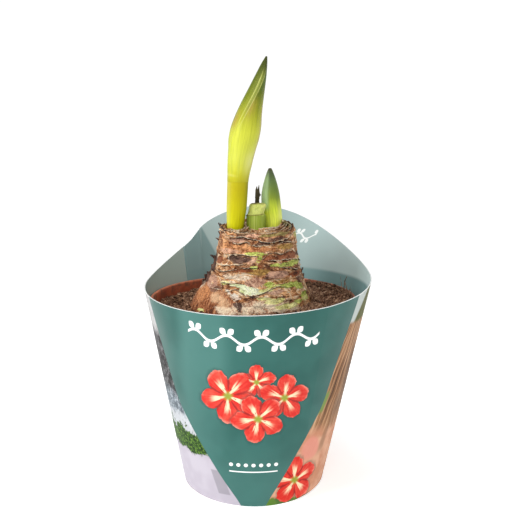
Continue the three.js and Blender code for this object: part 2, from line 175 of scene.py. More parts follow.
@dataclass(frozen=True)
class Curve:
    """Values against height, joined by a smooth curve. Each row is height, value, value ..."""

    rows: tuple

    def at(self, height: Array, column: int = 1) -> Array:
        """Hermite interpolation with slopes taken between the neighbours of each row.

        Args:
            height: where to read the curve.
            column: which value of the rows.

        Returns:
            The value at each height.
        """
        rows = np.array(self.rows, float)
        z, value = rows[:, 0], rows[:, column]
        i = np.clip(np.searchsorted(z, height, side="left") - 1, 0, len(z) - 2)
        before, after = np.maximum(i - 1, 0), np.minimum(i + 2, len(z) - 1)
        span = z[i + 1] - z[i]
        t = np.clip((height - z[i]) / span, 0, 1)
        low = (value[i + 1] - value[before]) / (z[i + 1] - z[before]) * span
        high = (value[after] - value[i]) / (z[after] - z[i]) * span
        ends = value[i] * (2 * t**3 - 3 * t**2 + 1) + value[i + 1] * (3 * t**2 - 2 * t**3)
        return ends + low * (t**3 - 2 * t**2 + t) + high * (t**3 - t**2)


@dataclass
class Patch:
    """A grid of points that becomes a surface: its rows are closed rings, each joined to the next by quads.

    Attributes:
        points: (rows, columns, 3) or, for many alike shapes at once, (shapes, rows, columns, 3).
        loop: the last row joins the first.
        caps: the first and the last row are drawn in to their middle, which closes the shape there.
        slots: the finish of each row of faces, or one for all.
        marks: named values at the points, one or three numbers at each.
    """

    points: Array
    loop: bool = False
    caps: tuple[bool, bool] = (False, False)
    slots: Union[int, Array] = 0
    marks: Marks = field(default_factory=dict)

    def full(self, values: Array) -> Array:
        """Values at the points, with a row of the end row's mean added at each capped end.

        Args:
            values: the points, or a mark.

        Returns:
            The values as (shapes, rows, columns, numbers).
        """
        *_, rows, columns, _ = self.points.shape
        grid = values.reshape(-1, rows, columns, values.size * 3 // self.points.size)
        middles = (grid[:, [row]].mean(axis=2, keepdims=True) for row in (0, -1))
        first, last = (np.repeat(middle, columns, axis=2) for middle in middles)
        return np.concatenate([first] * self.caps[0] + [grid] + [last] * self.caps[1], axis=1)


def mesh_of(name: str, patches: list[Patch], finishes: list[Material], sharp: float = 180.0) -> Object:
    """Joins patches into one object whose place is in its mesh, and merges the points that they share.

    Args:
        name: the object's name.
        patches: the surfaces, which face outwards when rows run up the outside and rings counter-clockwise.
        finishes: the materials that the patches' slots count through.
        sharp: edges that bend by more degrees than this are shaded sharp.

    Returns:
        The object, linked to the scene.
    """
    points, quads, slots, start = [], [], [], 0
    marks: dict[str, list[Array]] = {key: [] for patch in patches for key in patch.marks}
    for patch in patches:
        grid = patch.full(patch.points)
        shapes, rows, columns, _ = grid.shape
        row = np.arange(rows if patch.loop else rows - 1)[:, None] * columns
        above = (row + columns) % (rows * columns)
        column = np.arange(columns)[None, :]
        beside = (column + 1) % columns
        quad = np.stack([row + column, row + beside, above + beside, above + column], axis=-1)
        first = start + rows * columns * np.arange(shapes)[:, None, None]
        quads.append((quad.reshape(1, -1, 4) + first).reshape(-1, 4))
        slots.append(np.tile(np.repeat(np.broadcast_to(patch.slots, len(row)), columns), shapes))
        points.append(grid.reshape(-1, 3))
        for key, values in marks.items():
            mark = patch.full(patch.marks[key]) if key in patch.marks else np.zeros(grid.shape[:3])
            values.append(mark.reshape(len(points[-1]), -1))
        start += len(points[-1])
    mesh = bpy.data.meshes.new(name)
    mesh.from_pydata((np.concatenate(points) * MM).tolist(), [], np.concatenate(quads).tolist())
    mesh.polygons.foreach_set("material_index", np.concatenate(slots).astype(np.int32))
    for key, values in marks.items():
        flat = np.concatenate(values).astype(np.float32)
        kind, member = ("FLOAT_VECTOR", "vector") if flat.shape[1] == 3 else ("FLOAT", "value")
        mesh.attributes.new(key, kind, "POINT").data.foreach_set(member, flat.ravel())
    work = bmesh.new()
    work.from_mesh(mesh)
    bmesh.ops.remove_doubles(work, verts=work.verts, dist=WELD_DISTANCE)
    work.to_mesh(mesh)
    work.free()
    mesh.shade_smooth()
    mesh.set_sharp_from_angle(angle=sharp * DEGREE)
    for finish in finishes:
        mesh.materials.append(finish)
    piece = bpy.data.objects.new(name, mesh)
    bpy.context.scene.collection.objects.link(piece)
    return piece


def hand_over(piece: Object, node: str) -> None:
    """Makes a piece ride on the body and stand for a CAD node, and reports it.

    Args:
        piece: the finished object.
        node: the CAD node that it stands for.
    """
    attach(piece, BODY)
    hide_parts(node)
    LOG.info("%s: %d faces for %s", piece.name, len(piece.data.polygons), node)


def linear(colour: Colour) -> tuple[float, ...]:
    """The linear colour, with full alpha, of three display values from 0 to 255."""
    shares = (value / 255 for value in colour)
    return (*(share / 12.92 if share <= 0.04 else ((share + 0.055) / 1.055) ** 2.4 for share in shares), 1.0)


class Value:
    """A number in a material, whose arithmetic adds Math nodes."""

    def __init__(self, bench: "Bench", socket: Socket) -> None:
        """Holds a socket and the bench that it belongs to."""
        self.bench = bench
        self.socket = socket

    def __add__(self, other: "Number") -> "Value":
        """Sum."""
        return self.bench.math("ADD", self, other)

    __radd__ = __add__

    def __mul__(self, other: "Number") -> "Value":
        """Product."""
        return self.bench.math("MULTIPLY", self, other)

    __rmul__ = __mul__

    def __sub__(self, other: "Number") -> "Value":
        """Difference."""
        return self.bench.math("SUBTRACT", self, other)

    def __rsub__(self, other: "Number") -> "Value":
        """Difference from a plain number."""
        return self.bench.math("SUBTRACT", other, self)

    def __truediv__(self, other: "Number") -> "Value":
        """Quotient."""
        return self.bench.math("DIVIDE", self, other)

    def __pow__(self, other: "Number") -> "Value":
        """Power."""
        return self.bench.math("POWER", self, other)

    def __abs__(self) -> "Value":
        """Size without its sign."""
        return self.bench.math("ABSOLUTE", self)

    def most(self, other: "Number") -> "Value":
        """The larger of the two."""
        return self.bench.math("MAXIMUM", self, other)

    def rise(self, low: float, high: float) -> "Value":
        """A smooth step from 0 at `low` to 1 at `high`, which may be the lower one.

        Args:
            low, high: where the step starts and ends.

        Returns:
            The step, from a Map Range node.
        """
        source = {0: self, "From Min": min(low, high), "From Max": max(low, high)}
        result = {"To Min": float(low > high), "To Max": float(low < high)}
        node = self.bench.node("ShaderNodeMapRange", {"interpolation_type": "SMOOTHSTEP"}, source | result)
        return Value(self.bench, node.outputs["Result"])

    def between(self, start: float, full: float, fading: float, end: float) -> "Value":
        """1 from `full` to `fading`, with a smooth step down to 0 at `start` and at `end`."""
        return self.rise(start, full) * self.rise(end, fading)


Number = Union[Value, float]
Link = Union[Value, Socket, float, tuple]
Links = dict[Union[str, int], Link]


class Bench:
    """One material's node tree, with a method for each kind of thing that a finish is mixed from."""

    def __init__(self, name: str) -> None:
        """Starts a material with only its surface shader.

        Args:
            name: the material's name.
        """
        self.material = bpy.data.materials.new(name)
        self.material.use_nodes = True
        self.tree = self.material.node_tree
        self.tree.nodes.clear()
        self.shader = self.node("ShaderNodeBsdfPrincipled")
        self.node("ShaderNodeOutputMaterial", None, {"Surface": self.shader.outputs["BSDF"]})

    def node(self, kind: str, settings: dict = None, inputs: Links = None) -> bpy.types.Node:
        """Adds a node.

        Args:
            kind: the node's type.
            settings: attributes set first; "stops" lists a ramp's (place, colour) pairs.
            inputs: a value or a link for each named or numbered socket.

        Returns:
            The node.
        """
        node = self.tree.nodes.new(kind)
        for key, value in (settings or {}).items():
            if key == "stops":
                elements = node.color_ramp.elements
                while len(elements) < len(value):
                    elements.new(0.5)
                for element, (place, colour) in zip(elements, value):
                    element.position, element.color = place, linear(colour)
            else:
                setattr(node, key, value)
        self.feed(node, inputs or {})
        return node

    def feed(self, node: bpy.types.Node, inputs: Links) -> None:
        """Sets or links a node's input sockets.

        Args:
            node: whose sockets they are.
            inputs: a value or a link for each named or numbered socket.
        """
        for key, value in inputs.items():
            source = value.socket if isinstance(value, Value) else value
            if isinstance(source, Socket):
                self.tree.links.new(source, node.inputs[key])
            else:
                node.inputs[key].default_value = source

    def math(self, operation: str, *values: Number) -> Value:
        """A Math node on one, two or three numbers."""
        node = self.node("ShaderNodeMath", {"operation": operation}, dict(enumerate(values)))
        return Value(self, node.outputs[0])

    def stretch(self, vector: Socket, x: float, y: float, z: float) -> Socket:
        """A vector multiplied by a number along each axis."""
        inputs = {0: vector, 1: (x, y, z)}
        return self.node("ShaderNodeVectorMath", {"operation": "MULTIPLY"}, inputs).outputs[0]

    def place(self) -> Socket:
        """The point's place on the object, in millimetres."""
        return self.stretch(self.node("ShaderNodeTexCoord").outputs["Object"], 1 / MM, 1 / MM, 1 / MM)

    def axes(self, vector: Socket) -> tuple[Value, Value, Value]:
        """The three numbers of a vector."""
        node = self.node("ShaderNodeSeparateXYZ", None, {0: vector})
        return tuple(Value(self, output) for output in node.outputs)

    def point(self, x: Number, y: Number, z: Number) -> Socket:
        """A vector of three numbers."""
        return self.node("ShaderNodeCombineXYZ", None, {0: x, 1: y, 2: z}).outputs[0]

    def mark(self, name: str) -> Value:
        """A number that the mesh carries at its points."""
        return Value(self, self.node("ShaderNodeAttribute", {"attribute_name": name}).outputs["Fac"])

    def noise(
        self, where: Link, scale: float, detail: float = 3.0, rough: float = 0.55, warp: float = 0.0
    ) -> Value:
        """Noise from 0 to 1; scale counts swells in a unit of `where`."""
        inputs = {"Vector": where, "Scale": scale, "Detail": detail, "Roughness": rough, "Distortion": warp}
        return Value(self, self.node("ShaderNodeTexNoise", None, inputs).outputs[0])

    def mix(self, share: Number, first: Link, second: Link) -> Socket:
        """The first colour where share is 0, the second where it is 1."""
        first, second = (linear(shade) if isinstance(shade, tuple) else shade for shade in (first, second))
        return self.node("ShaderNodeMix", {"data_type": "RGBA"}, {0: share, 6: first, 7: second}).outputs[2]

    def ramp(self, share: Value, *stops: tuple[float, Colour]) -> Socket:
        """A colour picked from stops between 0 and 1."""
        return self.node("ShaderNodeValToRGB", {"stops": stops}, {0: share}).outputs[0]

    def bump(self, height: Value, depth: float) -> Socket:
        """A surface normal for a relief of that depth in millimetres."""
        inputs = {"Height": height, "Distance": depth * MM, "Strength": 1.0}
        return self.node("ShaderNodeBump", None, inputs).outputs[0]

    def done(self, **sockets: Link) -> Material:
        """Feeds the surface shader, whose sockets are named with _ for a space, and gives the material."""
        self.feed(self.shader, {key.replace("_", " "): value for key, value in sockets.items()})
        return self.material


@dataclass(frozen=True)
class TerracottaPlastic:
    """Moulded plastic in a terracotta colour, dusted with compost near the rim's inside."""

    light: Colour = (190, 98, 64)
    dark: Colour = (146, 66, 40)
    edge: Colour = (222, 134, 96)
    dust: Colour = (96, 66, 50)
    scuff: Colour = (168, 150, 140)

    def material(self) -> Material:
        """Mottled colour, faint moulding rings, a film of dust inside and a scuffed foot.

        Returns:
            The finish.
        """
        bench = Bench("terracotta_plastic")
        place = bench.place()
        x, y, z = bench.axes(place)
        cloud = bench.noise(place, 0.05, 4)
        fine = bench.noise(place, 0.9, 3, 0.6)
        rings = bench.noise(bench.stretch(place, 0.02, 0.02, 1.6), 1, 2)
        inside = ((x * x + y * y) ** 0.5 + z * -0.163).rise(50.6, 49.4)
        patchy = bench.noise(place, 0.16, 5, 0.65)
        rim = z.rise(136, 137.5) * (x + y * 0.4).rise(0, 40)
        dusty = (inside * patchy.rise(0.42, 0.62) * 0.75).most(rim * patchy.rise(0.36, 0.48) * 0.85)
        scuffed = z.rise(4.5, 3.5) * (0.5 + 0.4 * patchy)
        colour = bench.mix(cloud.rise(0.35, 0.65), self.dark, self.light)
        colour = bench.mix(z.rise(137.6, 138.8) * 0.6, colour, self.edge)
        colour = bench.mix(scuffed, bench.mix(dusty, colour, self.dust), self.scuff)
        normal = bench.bump(rings * 0.6 + fine * 0.4, 0.06)
        return bench.done(Base_Color=colour, Roughness=0.42 + 0.2 * fine + 0.25 * dusty, Normal=normal)


@dataclass(frozen=True)
class Blossom:
    """A printed five-petalled blossom: its middle on the card, its radius and its turn."""

    x: float
    y: float
    radius: float
    turn: float
    petal: Colour = (208, 34, 24)
    flush: Colour = (230, 84, 64)
    deep: Colour = (132, 16, 18)
    frill: Colour = (240, 150, 130)
    star: Colour = (255, 232, 190)
    throat: Colour = (146, 156, 52)
    shadow: Colour = (30, 60, 56)

    def print_on(self, x: Value, y: Value, ground: Link) -> Socket:
        """Lays the blossom over a ground colour.

        The outline is r = 0.6 + 0.4 |cos(5 angle / 2)|^0.8 of the radius with a ruffle, and a pale ray runs
        along each petal.

        Args:
            x, y: the place across and up the card.
            ground: the colour beneath.

        Returns:
            The colour with the blossom over it.
        """
        bench = x.bench
        across, up = (x - self.x) / self.radius, (y - self.y) / self.radius
        radius = (across * across + up * up) ** 0.5
        angle = bench.math("ARCTAN2", up, across) + self.turn
        ruffle = bench.noise(bench.point(across * 3.4, up * 3.4, self.turn), 1, 3, 0.6) - 0.5
        lobe = abs(bench.math("COSINE", angle * 2.5 + ruffle * 0.6))
        share = radius / (0.6 + 0.4 * lobe**0.8 + ruffle * 0.26)
        veins = bench.noise(bench.point(across / radius * 8, up / radius * 8, radius * 1.3), 1, 3, 0.6)
        shade = bench.noise(bench.point(across * 2.4, up * 2.4, 4.0 + self.turn), 1, 3, 0.6)
        petal = bench.mix((veins * 0.5 + shade * 0.8).rise(0.5, 0.95), self.petal, self.flush)
        petal = bench.mix(share.rise(0.86, 1.0) * shade.rise(0.42, 0.62) * 0.8, petal, self.frill)
        gap = (lobe + (shade - 0.5) * 0.3).rise(0.34, 0.02) * radius.rise(0.1, 0.35)
        petal = bench.mix(gap * 0.8, petal, self.deep)
        ray = (lobe - 0.68 - radius * 0.28 + (veins - 0.5) * 0.8).rise(0.0, 0.16) * radius.rise(0.74, 0.4)
        petal = bench.mix(ray * 0.9, petal, self.star)
        petal = bench.mix((radius + veins * 0.16).rise(0.3, 0.14), petal, self.throat)
        petal = bench.mix(abs(radius - 0.25).rise(0.08, 0.02) * veins.rise(0.52, 0.6), petal, self.deep)
        ground = bench.mix(share.rise(1.16, 1.0) * 0.4, ground, self.shadow)
        return bench.mix(share.rise(1.0, 0.97), ground, petal)


class CardFace(Enum):
    """The faces of the sleeve's card."""

    OUTSIDE = "outside"
    INSIDE = "inside"
    CUT = "cut"


@dataclass(frozen=True)
class PrintedCard:
    """Card printed in teal, varnished, with soft garden pictures beside the teal panels."""

    face: CardFace
    teal: Colour = (36, 90, 83)
    teal_light: Colour = (45, 99, 92)
    teal_pale: Colour = (80, 129, 122)
    inner: Colour = (158, 180, 179)
    # The next three colours are a painted reflection and painted shade on the inner face.
    inner_painted_reflection: Colour = (190, 210, 209)
    inner_painted_shade_low: Colour = (120, 154, 154)
    inner_painted_shade_fold: Colour = (126, 156, 156)
    inner_strip: Colour = (168, 184, 176)
    white: Colour = (246, 248, 247)
    pulp: Colour = (214, 218, 216)
    foot_radius: float = 51.15
    flare: float = 0.2025
    lean: float = 2.8 / 144.2
    blossoms: tuple[Blossom, ...] = (
        Blossom(1.0, 97.0, 13.0, 0.9),
        Blossom(20.0, 84.5, 17.5, -0.2),
        Blossom(-18.0, 86.0, 20.5, 0.35),
        Blossom(2.5, 69.5, 18.5, 1.75),
    )
    corner_blossom: Blossom = Blossom(30.0, 18.0, 19.5, 0.9)

    def card_place(self, bench: Bench, place: Socket) -> tuple[Value, Value, Value]:
        """Where a point lies on the card.

        Args:
            bench: the material's bench.
            place: the point's place on the object.

        Returns:
            How far across from the front's middle, how far up, and the azimuth.
        """
        x, y, z = bench.axes(place)
        azimuth = bench.math("ARCTAN2", x - z * self.lean, 0 - y)
        return azimuth * (z * self.flare + self.foot_radius), z, azimuth

    def leaf_scroll(self, x: Value, y: Value, half: float) -> Value:
        """A mask of a waving stem with a leaf on each side of every wave.

        Args:
            x, y: the place along the stem, from its middle, and across it.
            half: how far the stem reaches to each side.

        Returns:
            1 on the scroll.
        """
        bench = x.bench
        wave = bench.math("SINE", x * 0.42) * 1.9
        stem = abs(y - wave).rise(0.75, 0.55)
        side = bench.math("SIGN", wave)
        from_crest = abs(bench.math("WRAP", x - 3.74, 3.74, -3.74)) - 1.75
        out = (y - wave) * side - 2.3
        along, wide = out * 0.84 + from_crest * 0.54, from_crest * 0.84 - out * 0.54
        leaf = (1.15 - along * along * 0.19 - abs(wide)).rise(0.0, 0.15)
        return stem.most(leaf) * abs(x).rise(half, half - 0.6)

    def dots(self, x: Value, y: Value) -> Value:
        """A mask of a row of round dots over a thin rule.

        Args:
            x, y: the place across and up the card.

        Returns:
            1 on the dots and the rule.
        """
        cell, up = x.bench.math("WRAP", x, 2.6, -2.6), y - 33.4
        dot = ((cell * cell + up * up) ** 0.5).rise(1.55, 1.25)
        rule = abs(y - 28.0).rise(0.55, 0.35)
        return (dot * abs(x).rise(18.6, 18.2)).most(rule * abs(x).rise(17.0, 16.6))

    def garden(self, place: Socket, x: Value, z: Value) -> Socket:
        """The left picture: pale sky, dark rough bark, blue-grey haze, a leafy band and lilac planks.

        Args:
            place: the point's place on the object.
            x, z: the place across and up the card.

        Returns:
            The picture's colour.
        """
        bench = x.bench
        rough = bench.noise(bench.point(x, z * 0.6, 1), 0.3, 6, 0.75)
        fine = bench.noise(place, 0.8, 4, 0.7)
        cloud = bench.noise(place, 0.1, 3, 0.6) - 0.5
        mottle = rough * 0.7 + fine * 0.35
        bark = bench.ramp(mottle, (0.43, (12, 12, 12)), (0.52, (44, 42, 42)), (0.64, (128, 128, 130)))
        haze = bench.ramp(mottle, (0.4, (48, 56, 62)), (0.53, (112, 122, 130)), (0.62, (182, 190, 196)))
        haze = bench.mix((z + cloud * 20).rise(66, 60) * 0.75, haze, (204, 206, 210))
        sky = bench.mix(mottle.rise(0.45, 0.6), (168, 166, 166), (192, 192, 192))
        leaves = bench.noise(place, 0.6, 5, 0.8)
        green = bench.ramp(leaves, (0.41, (8, 22, 4)), (0.5, (36, 76, 14)), (0.61, (104, 140, 44)))
        planks = bench.mix(bench.noise(place, 0.05, 2).rise(0.4, 0.6), (180, 173, 184), (188, 182, 192))
        slab = (x + z * 0.35).between(-22.5, -21.5, -13.5, -12.5) * z.between(7.5, 8.5, 26, 27)
        picture = bench.mix(slab * 0.8, planks, (146, 141, 150))
        picture = bench.mix((z + cloud * 18 + fine * 5).rise(36, 39), picture, green)
        picture = bench.mix((z + cloud * 34 + fine * 10 - 5).rise(53, 56), picture, haze)
        picture = bench.mix((z + cloud * 30).rise(72, 86), picture, bark)
        return bench.mix((z + cloud * 14 - fine * 6).rise(114, 122), picture, sky)

    def timber(self, place: Socket, x: Value, z: Value) -> Socket:
        """The right picture: tan boards that gather upwards, dark on the right, a peach foot, a pale top.

        Args:
            place: the point's place on the object.
            x, z: the place across and up the card.

        Returns:
            The picture's colour.
        """
        bench = x.bench
        across = (x - 38 - 0.53 * (z - 46)) / (41 - 0.265 * (z - 46))
        warp = bench.noise(place, 0.03, 2) - 0.5
        bent = across + warp * 0.16
        board = abs(bench.math("WRAP", bent - 0.16, 0.21, -0.21))
        grain = bench.noise(bench.point(bent * 11, z * 0.018, 2), 1, 5, 0.6)
        fine = bench.noise(bench.point(bent * 38, z * 0.03, 5), 1, 3, 0.6)
        tone = grain * 0.7 + fine * 0.3
        tans = (0.38, (64, 40, 20)), (0.46, (138, 94, 58)), (0.54, (184, 140, 102)), (0.64, (212, 178, 144))
        wood = bench.mix(board.rise(0.025, 0.01) * 0.7, bench.ramp(tone, *tans), (70, 46, 28))
        shaded = (across + warp * 0.8).rise(0.35, 0.8) * z.between(52, 66, 100, 118) * 0.6
        wood = bench.mix(shaded, wood, bench.mix(tone.rise(0.42, 0.6), (48, 34, 20), (112, 80, 54)))
        moss = across.rise(0.1, 0.04) * (z + fine * 10).between(70, 74, 84, 88)
        wood = bench.mix(moss, wood, (118, 138, 70))
        blush = bench.mix(bench.noise(place, 0.07, 3).rise(0.4, 0.62), (194, 134, 102), (212, 162, 132))
        streak = abs(across - 0.5 + warp * 0.3).rise(0.12, 0.03) * z.rise(30, 40) * 0.6
        blush = bench.mix(streak, blush, (128, 92, 60))
        picture = bench.mix((z + warp * 20 + fine * 4).rise(59, 50), wood, blush)
        away = ((x - 43) * (x - 43) + (z - 40) * (z - 40)) ** 0.5 + warp * 6
        disc = bench.mix(fine, (212, 132, 114), (224, 154, 136))
        picture = bench.mix((away + fine * 3).rise(12.5, 8.5) * 0.85, picture, disc)
        olive = bench.mix(grain.rise(0.4, 0.6), (46, 50, 10), (104, 106, 44))
        top = bench.mix((x - 85 - 0.93 * (z - 131.4) + grain * 4).rise(-3, 0.5), (186, 194, 190), olive)
        picture = bench.mix((z + warp * 10).rise(127, 131), picture, top)
        return bench.mix((z + x * 0.15 + fine * 5).rise(11.5, 9.5), picture, (88, 124, 44))

    def inside(self, x: Value, z: Value, azimuth: Value) -> Socket:
        """The inner face: a painted reflection, paler on the right and less so on the left; painted shade
        below a level line and left of the back crease, with a painted light wedge under the kink; and a strip
        at the left.

        Args:
            x, z: the place across and up the card.
            azimuth: the place round the card.

        Returns:
            The colour.
        """
        bench = x.bench
        degrees = azimuth / DEGREE
        behind = 180 - abs(degrees)
        side = degrees.rise(-1, 1)
        painted_fold_shade = (behind - 20 - (z - 145) * 0.34).rise(-0.5, 1.0) * (1 - side)
        painted_kink_reflection = ((z - 158) * 0.06 - abs(degrees + 147.5)).rise(0.0, 0.5)
        strip = (degrees + 136).between(0, 0.8, 30, 70)
        # Painted reflection and shade: paler on the right and left, darker at the back fold with a light
        # wedge, darker below the level line.
        far = ((behind - 30).rise(0, 30) * side).most(0.7 - 0.7 * side)
        tone = bench.mix(far, self.inner, self.inner_painted_reflection)
        tone = bench.mix(painted_fold_shade * 0.9 - painted_kink_reflection * 0.4, tone, self.inner_painted_shade_fold)
        tone = bench.mix(z.rise(147.5, 144.5) * (1 - painted_fold_shade * 0.6), tone, self.inner_painted_shade_low)
        tone = bench.mix(strip * 0.85 * z.rise(118, 130), tone, self.inner_strip)
        scroll = self.leaf_scroll((x - 232) * 0.95, (z - 171) * 0.95, 11.0)
        return bench.mix(scroll * 0.85, tone, self.white)

    def panel(self, x: Value, z: Value, azimuth: Value, swell: Value) -> Socket:
        """The teal panel: a painted highlight band at the left, paler at the foot, with blossoms, and the
        scroll and dots in white.

        Args:
            x, z: the place across and up the card.
            azimuth: the place round the card.
            swell: soft noise over the card.

        Returns:
            The colour.
        """
        bench = x.bench
        teal = bench.mix(swell.rise(0.35, 0.65), self.teal, self.teal_light)
        in_front = abs(azimuth).rise(1.3, 1.2)
        # Painted highlight: a paler band over the upper left of the front.
        painted_highlight_band = x.between(-62, -48, -26, -12) * (0.2 + 0.36 * z.rise(50, 120)) * in_front
        teal = bench.mix(painted_highlight_band.most(z.rise(58, 16) * 0.36), teal, self.teal_pale)
        for blossom in self.blossoms:
            teal = blossom.print_on(x, z, teal)
        vine = self.leaf_scroll((x + 2) * 0.66, (z - 126.5 - x * x * 0.0015) * 0.66, 30.1)
        return bench.mix(vine.most(self.dots(x, z)) * in_front, teal, self.white)

    def material(self) -> Material:
        """The card's finish on this face.

        Returns:
            The finish.
        """
        bench = Bench(f"printed_card_{self.face.value}")
        place = bench.place()
        fibres = bench.noise(place, 2.4, 4, 0.7)
        if self.face is CardFace.CUT:
            edge = bench.mix(fibres, self.pulp, self.white)
            return bench.done(Base_Color=edge, Roughness=0.6 + 0.2 * fibres)
        x, z, azimuth = self.card_place(bench, place)
        swell = bench.noise(place, 0.035, 2)
        normal = bench.bump(bench.noise(place, 0.03, 1) * 3 + fibres * 0.02, 0.5)
        if self.face is CardFace.INSIDE:
            return bench.done(
                Base_Color=self.inside(x, z, azimuth),
                Roughness=0.42 + 0.1 * swell,
                Specular_IOR_Level=0.3,
                Coat_Weight=0.06,
                Coat_Roughness=0.25,
                Normal=normal,
            )
        right = self.corner_blossom.print_on(x, z, self.timber(place, x, z))
        picture = bench.mix(bench.mark("right_side").rise(0.4, 0.6), self.garden(place, x, z), right)
        panel = bench.mark("panel").rise(-0.25, 0.25)
        return bench.done(
            Base_Color=bench.mix(panel, picture, self.panel(x, z, azimuth, swell)),
            Roughness=0.55 - 0.25 * panel + 0.1 * swell,
            Specular_IOR_Level=0.2,
            Coat_Weight=0.12 * panel,
            Coat_Roughness=0.1,
            Normal=normal,
        )


@dataclass(frozen=True)
class Compost:
    """Moist peat: brown crumbs, dark hollows and pale dry bits."""

    peat: tuple = ((0.38, (22, 13, 9)), (0.46, (86, 56, 40)), (0.54, (154, 114, 88)), (0.63, (236, 200, 168)))
    straw: tuple[Colour, Colour] = ((120, 84, 58), (176, 140, 106))
    darker_right: Colour = (40, 26, 18)

    def material(self) -> Material:
        """Colour by crumb, straw where the mesh is marked dry, darker towards the right, with a rough grain.

        Returns:
            The finish.
        """
        bench = Bench("compost")
        place = bench.place()
        crumb = bench.noise(place, 0.45, 6, 0.75)
        cloud = bench.noise(place, 0.06, 3)
        grit = bench.noise(place, 1.1, 3, 0.8)
        colour = bench.ramp(crumb * 0.7 + grit * 0.35 + cloud * 0.2 - 0.13, *self.peat)
        colour = bench.mix(bench.mark("dry"), colour, bench.mix(bench.noise(place, 0.8, 2), *self.straw))
        # Darker towards the right.
        colour = bench.mix(bench.axes(place)[0].rise(10, 60) * 0.3, colour, self.darker_right)
        return bench.done(
            Base_Color=colour,
            Roughness=0.85 + 0.1 * crumb,
            Specular_IOR_Level=0.15,
            Normal=bench.bump(bench.noise(place, 1.6, 4, 0.8), 0.5),
        )


@dataclass(frozen=True)
class Patchwork:
    """One kind of patch on the bulb's skin, such as living flesh or a scar.

    Attributes:
        name: the mark that the mesh carries.
        low: its darker colour.
        high: its lighter colour.
        strength: how well it covers.
        spots: (azimuth in degrees, height, half width, half height) of each patch.
        scattered: how many more lie on the sides and the back.
        size: half width and half height of those.
        edge: how softly it ends.
    """

    name: str
    low: Colour
    high: Colour
    strength: float
    spots: tuple
    scattered: int = 0
    size: tuple[float, float] = (6.0, 2.2)
    edge: float = 0.14

    def weight(self, azimuth: Array, z: Array, radius: Array, random: np.random.Generator) -> Array:
        """The largest of soft spots, exp(-0.8 ((across / half width)^2 + (up / half height)^2)).

        Args:
            azimuth, z: of the points.
            radius: of the bulb there.
            random: the source of the scattered spots.

        Returns:
            The weight of the patch at each point, up to 1.
        """
        ranges = ((85, 275, 1), (138, 186, 1), (0.7, 1.6, self.size[0]), (0.7, 1.5, self.size[1]))
        columns = [scale * random.uniform(low, high, self.scattered) for low, high, scale in ranges]
        total = np.zeros(np.broadcast(azimuth, z).shape)
        for turn, height, wide, tall in (*self.spots, *np.column_stack(columns)):
            across = signed(azimuth - turn * DEGREE) * radius / wide
            total = np.maximum(total, np.exp(-0.8 * (across**2 + ((z - height) / tall) ** 2)))
        return total


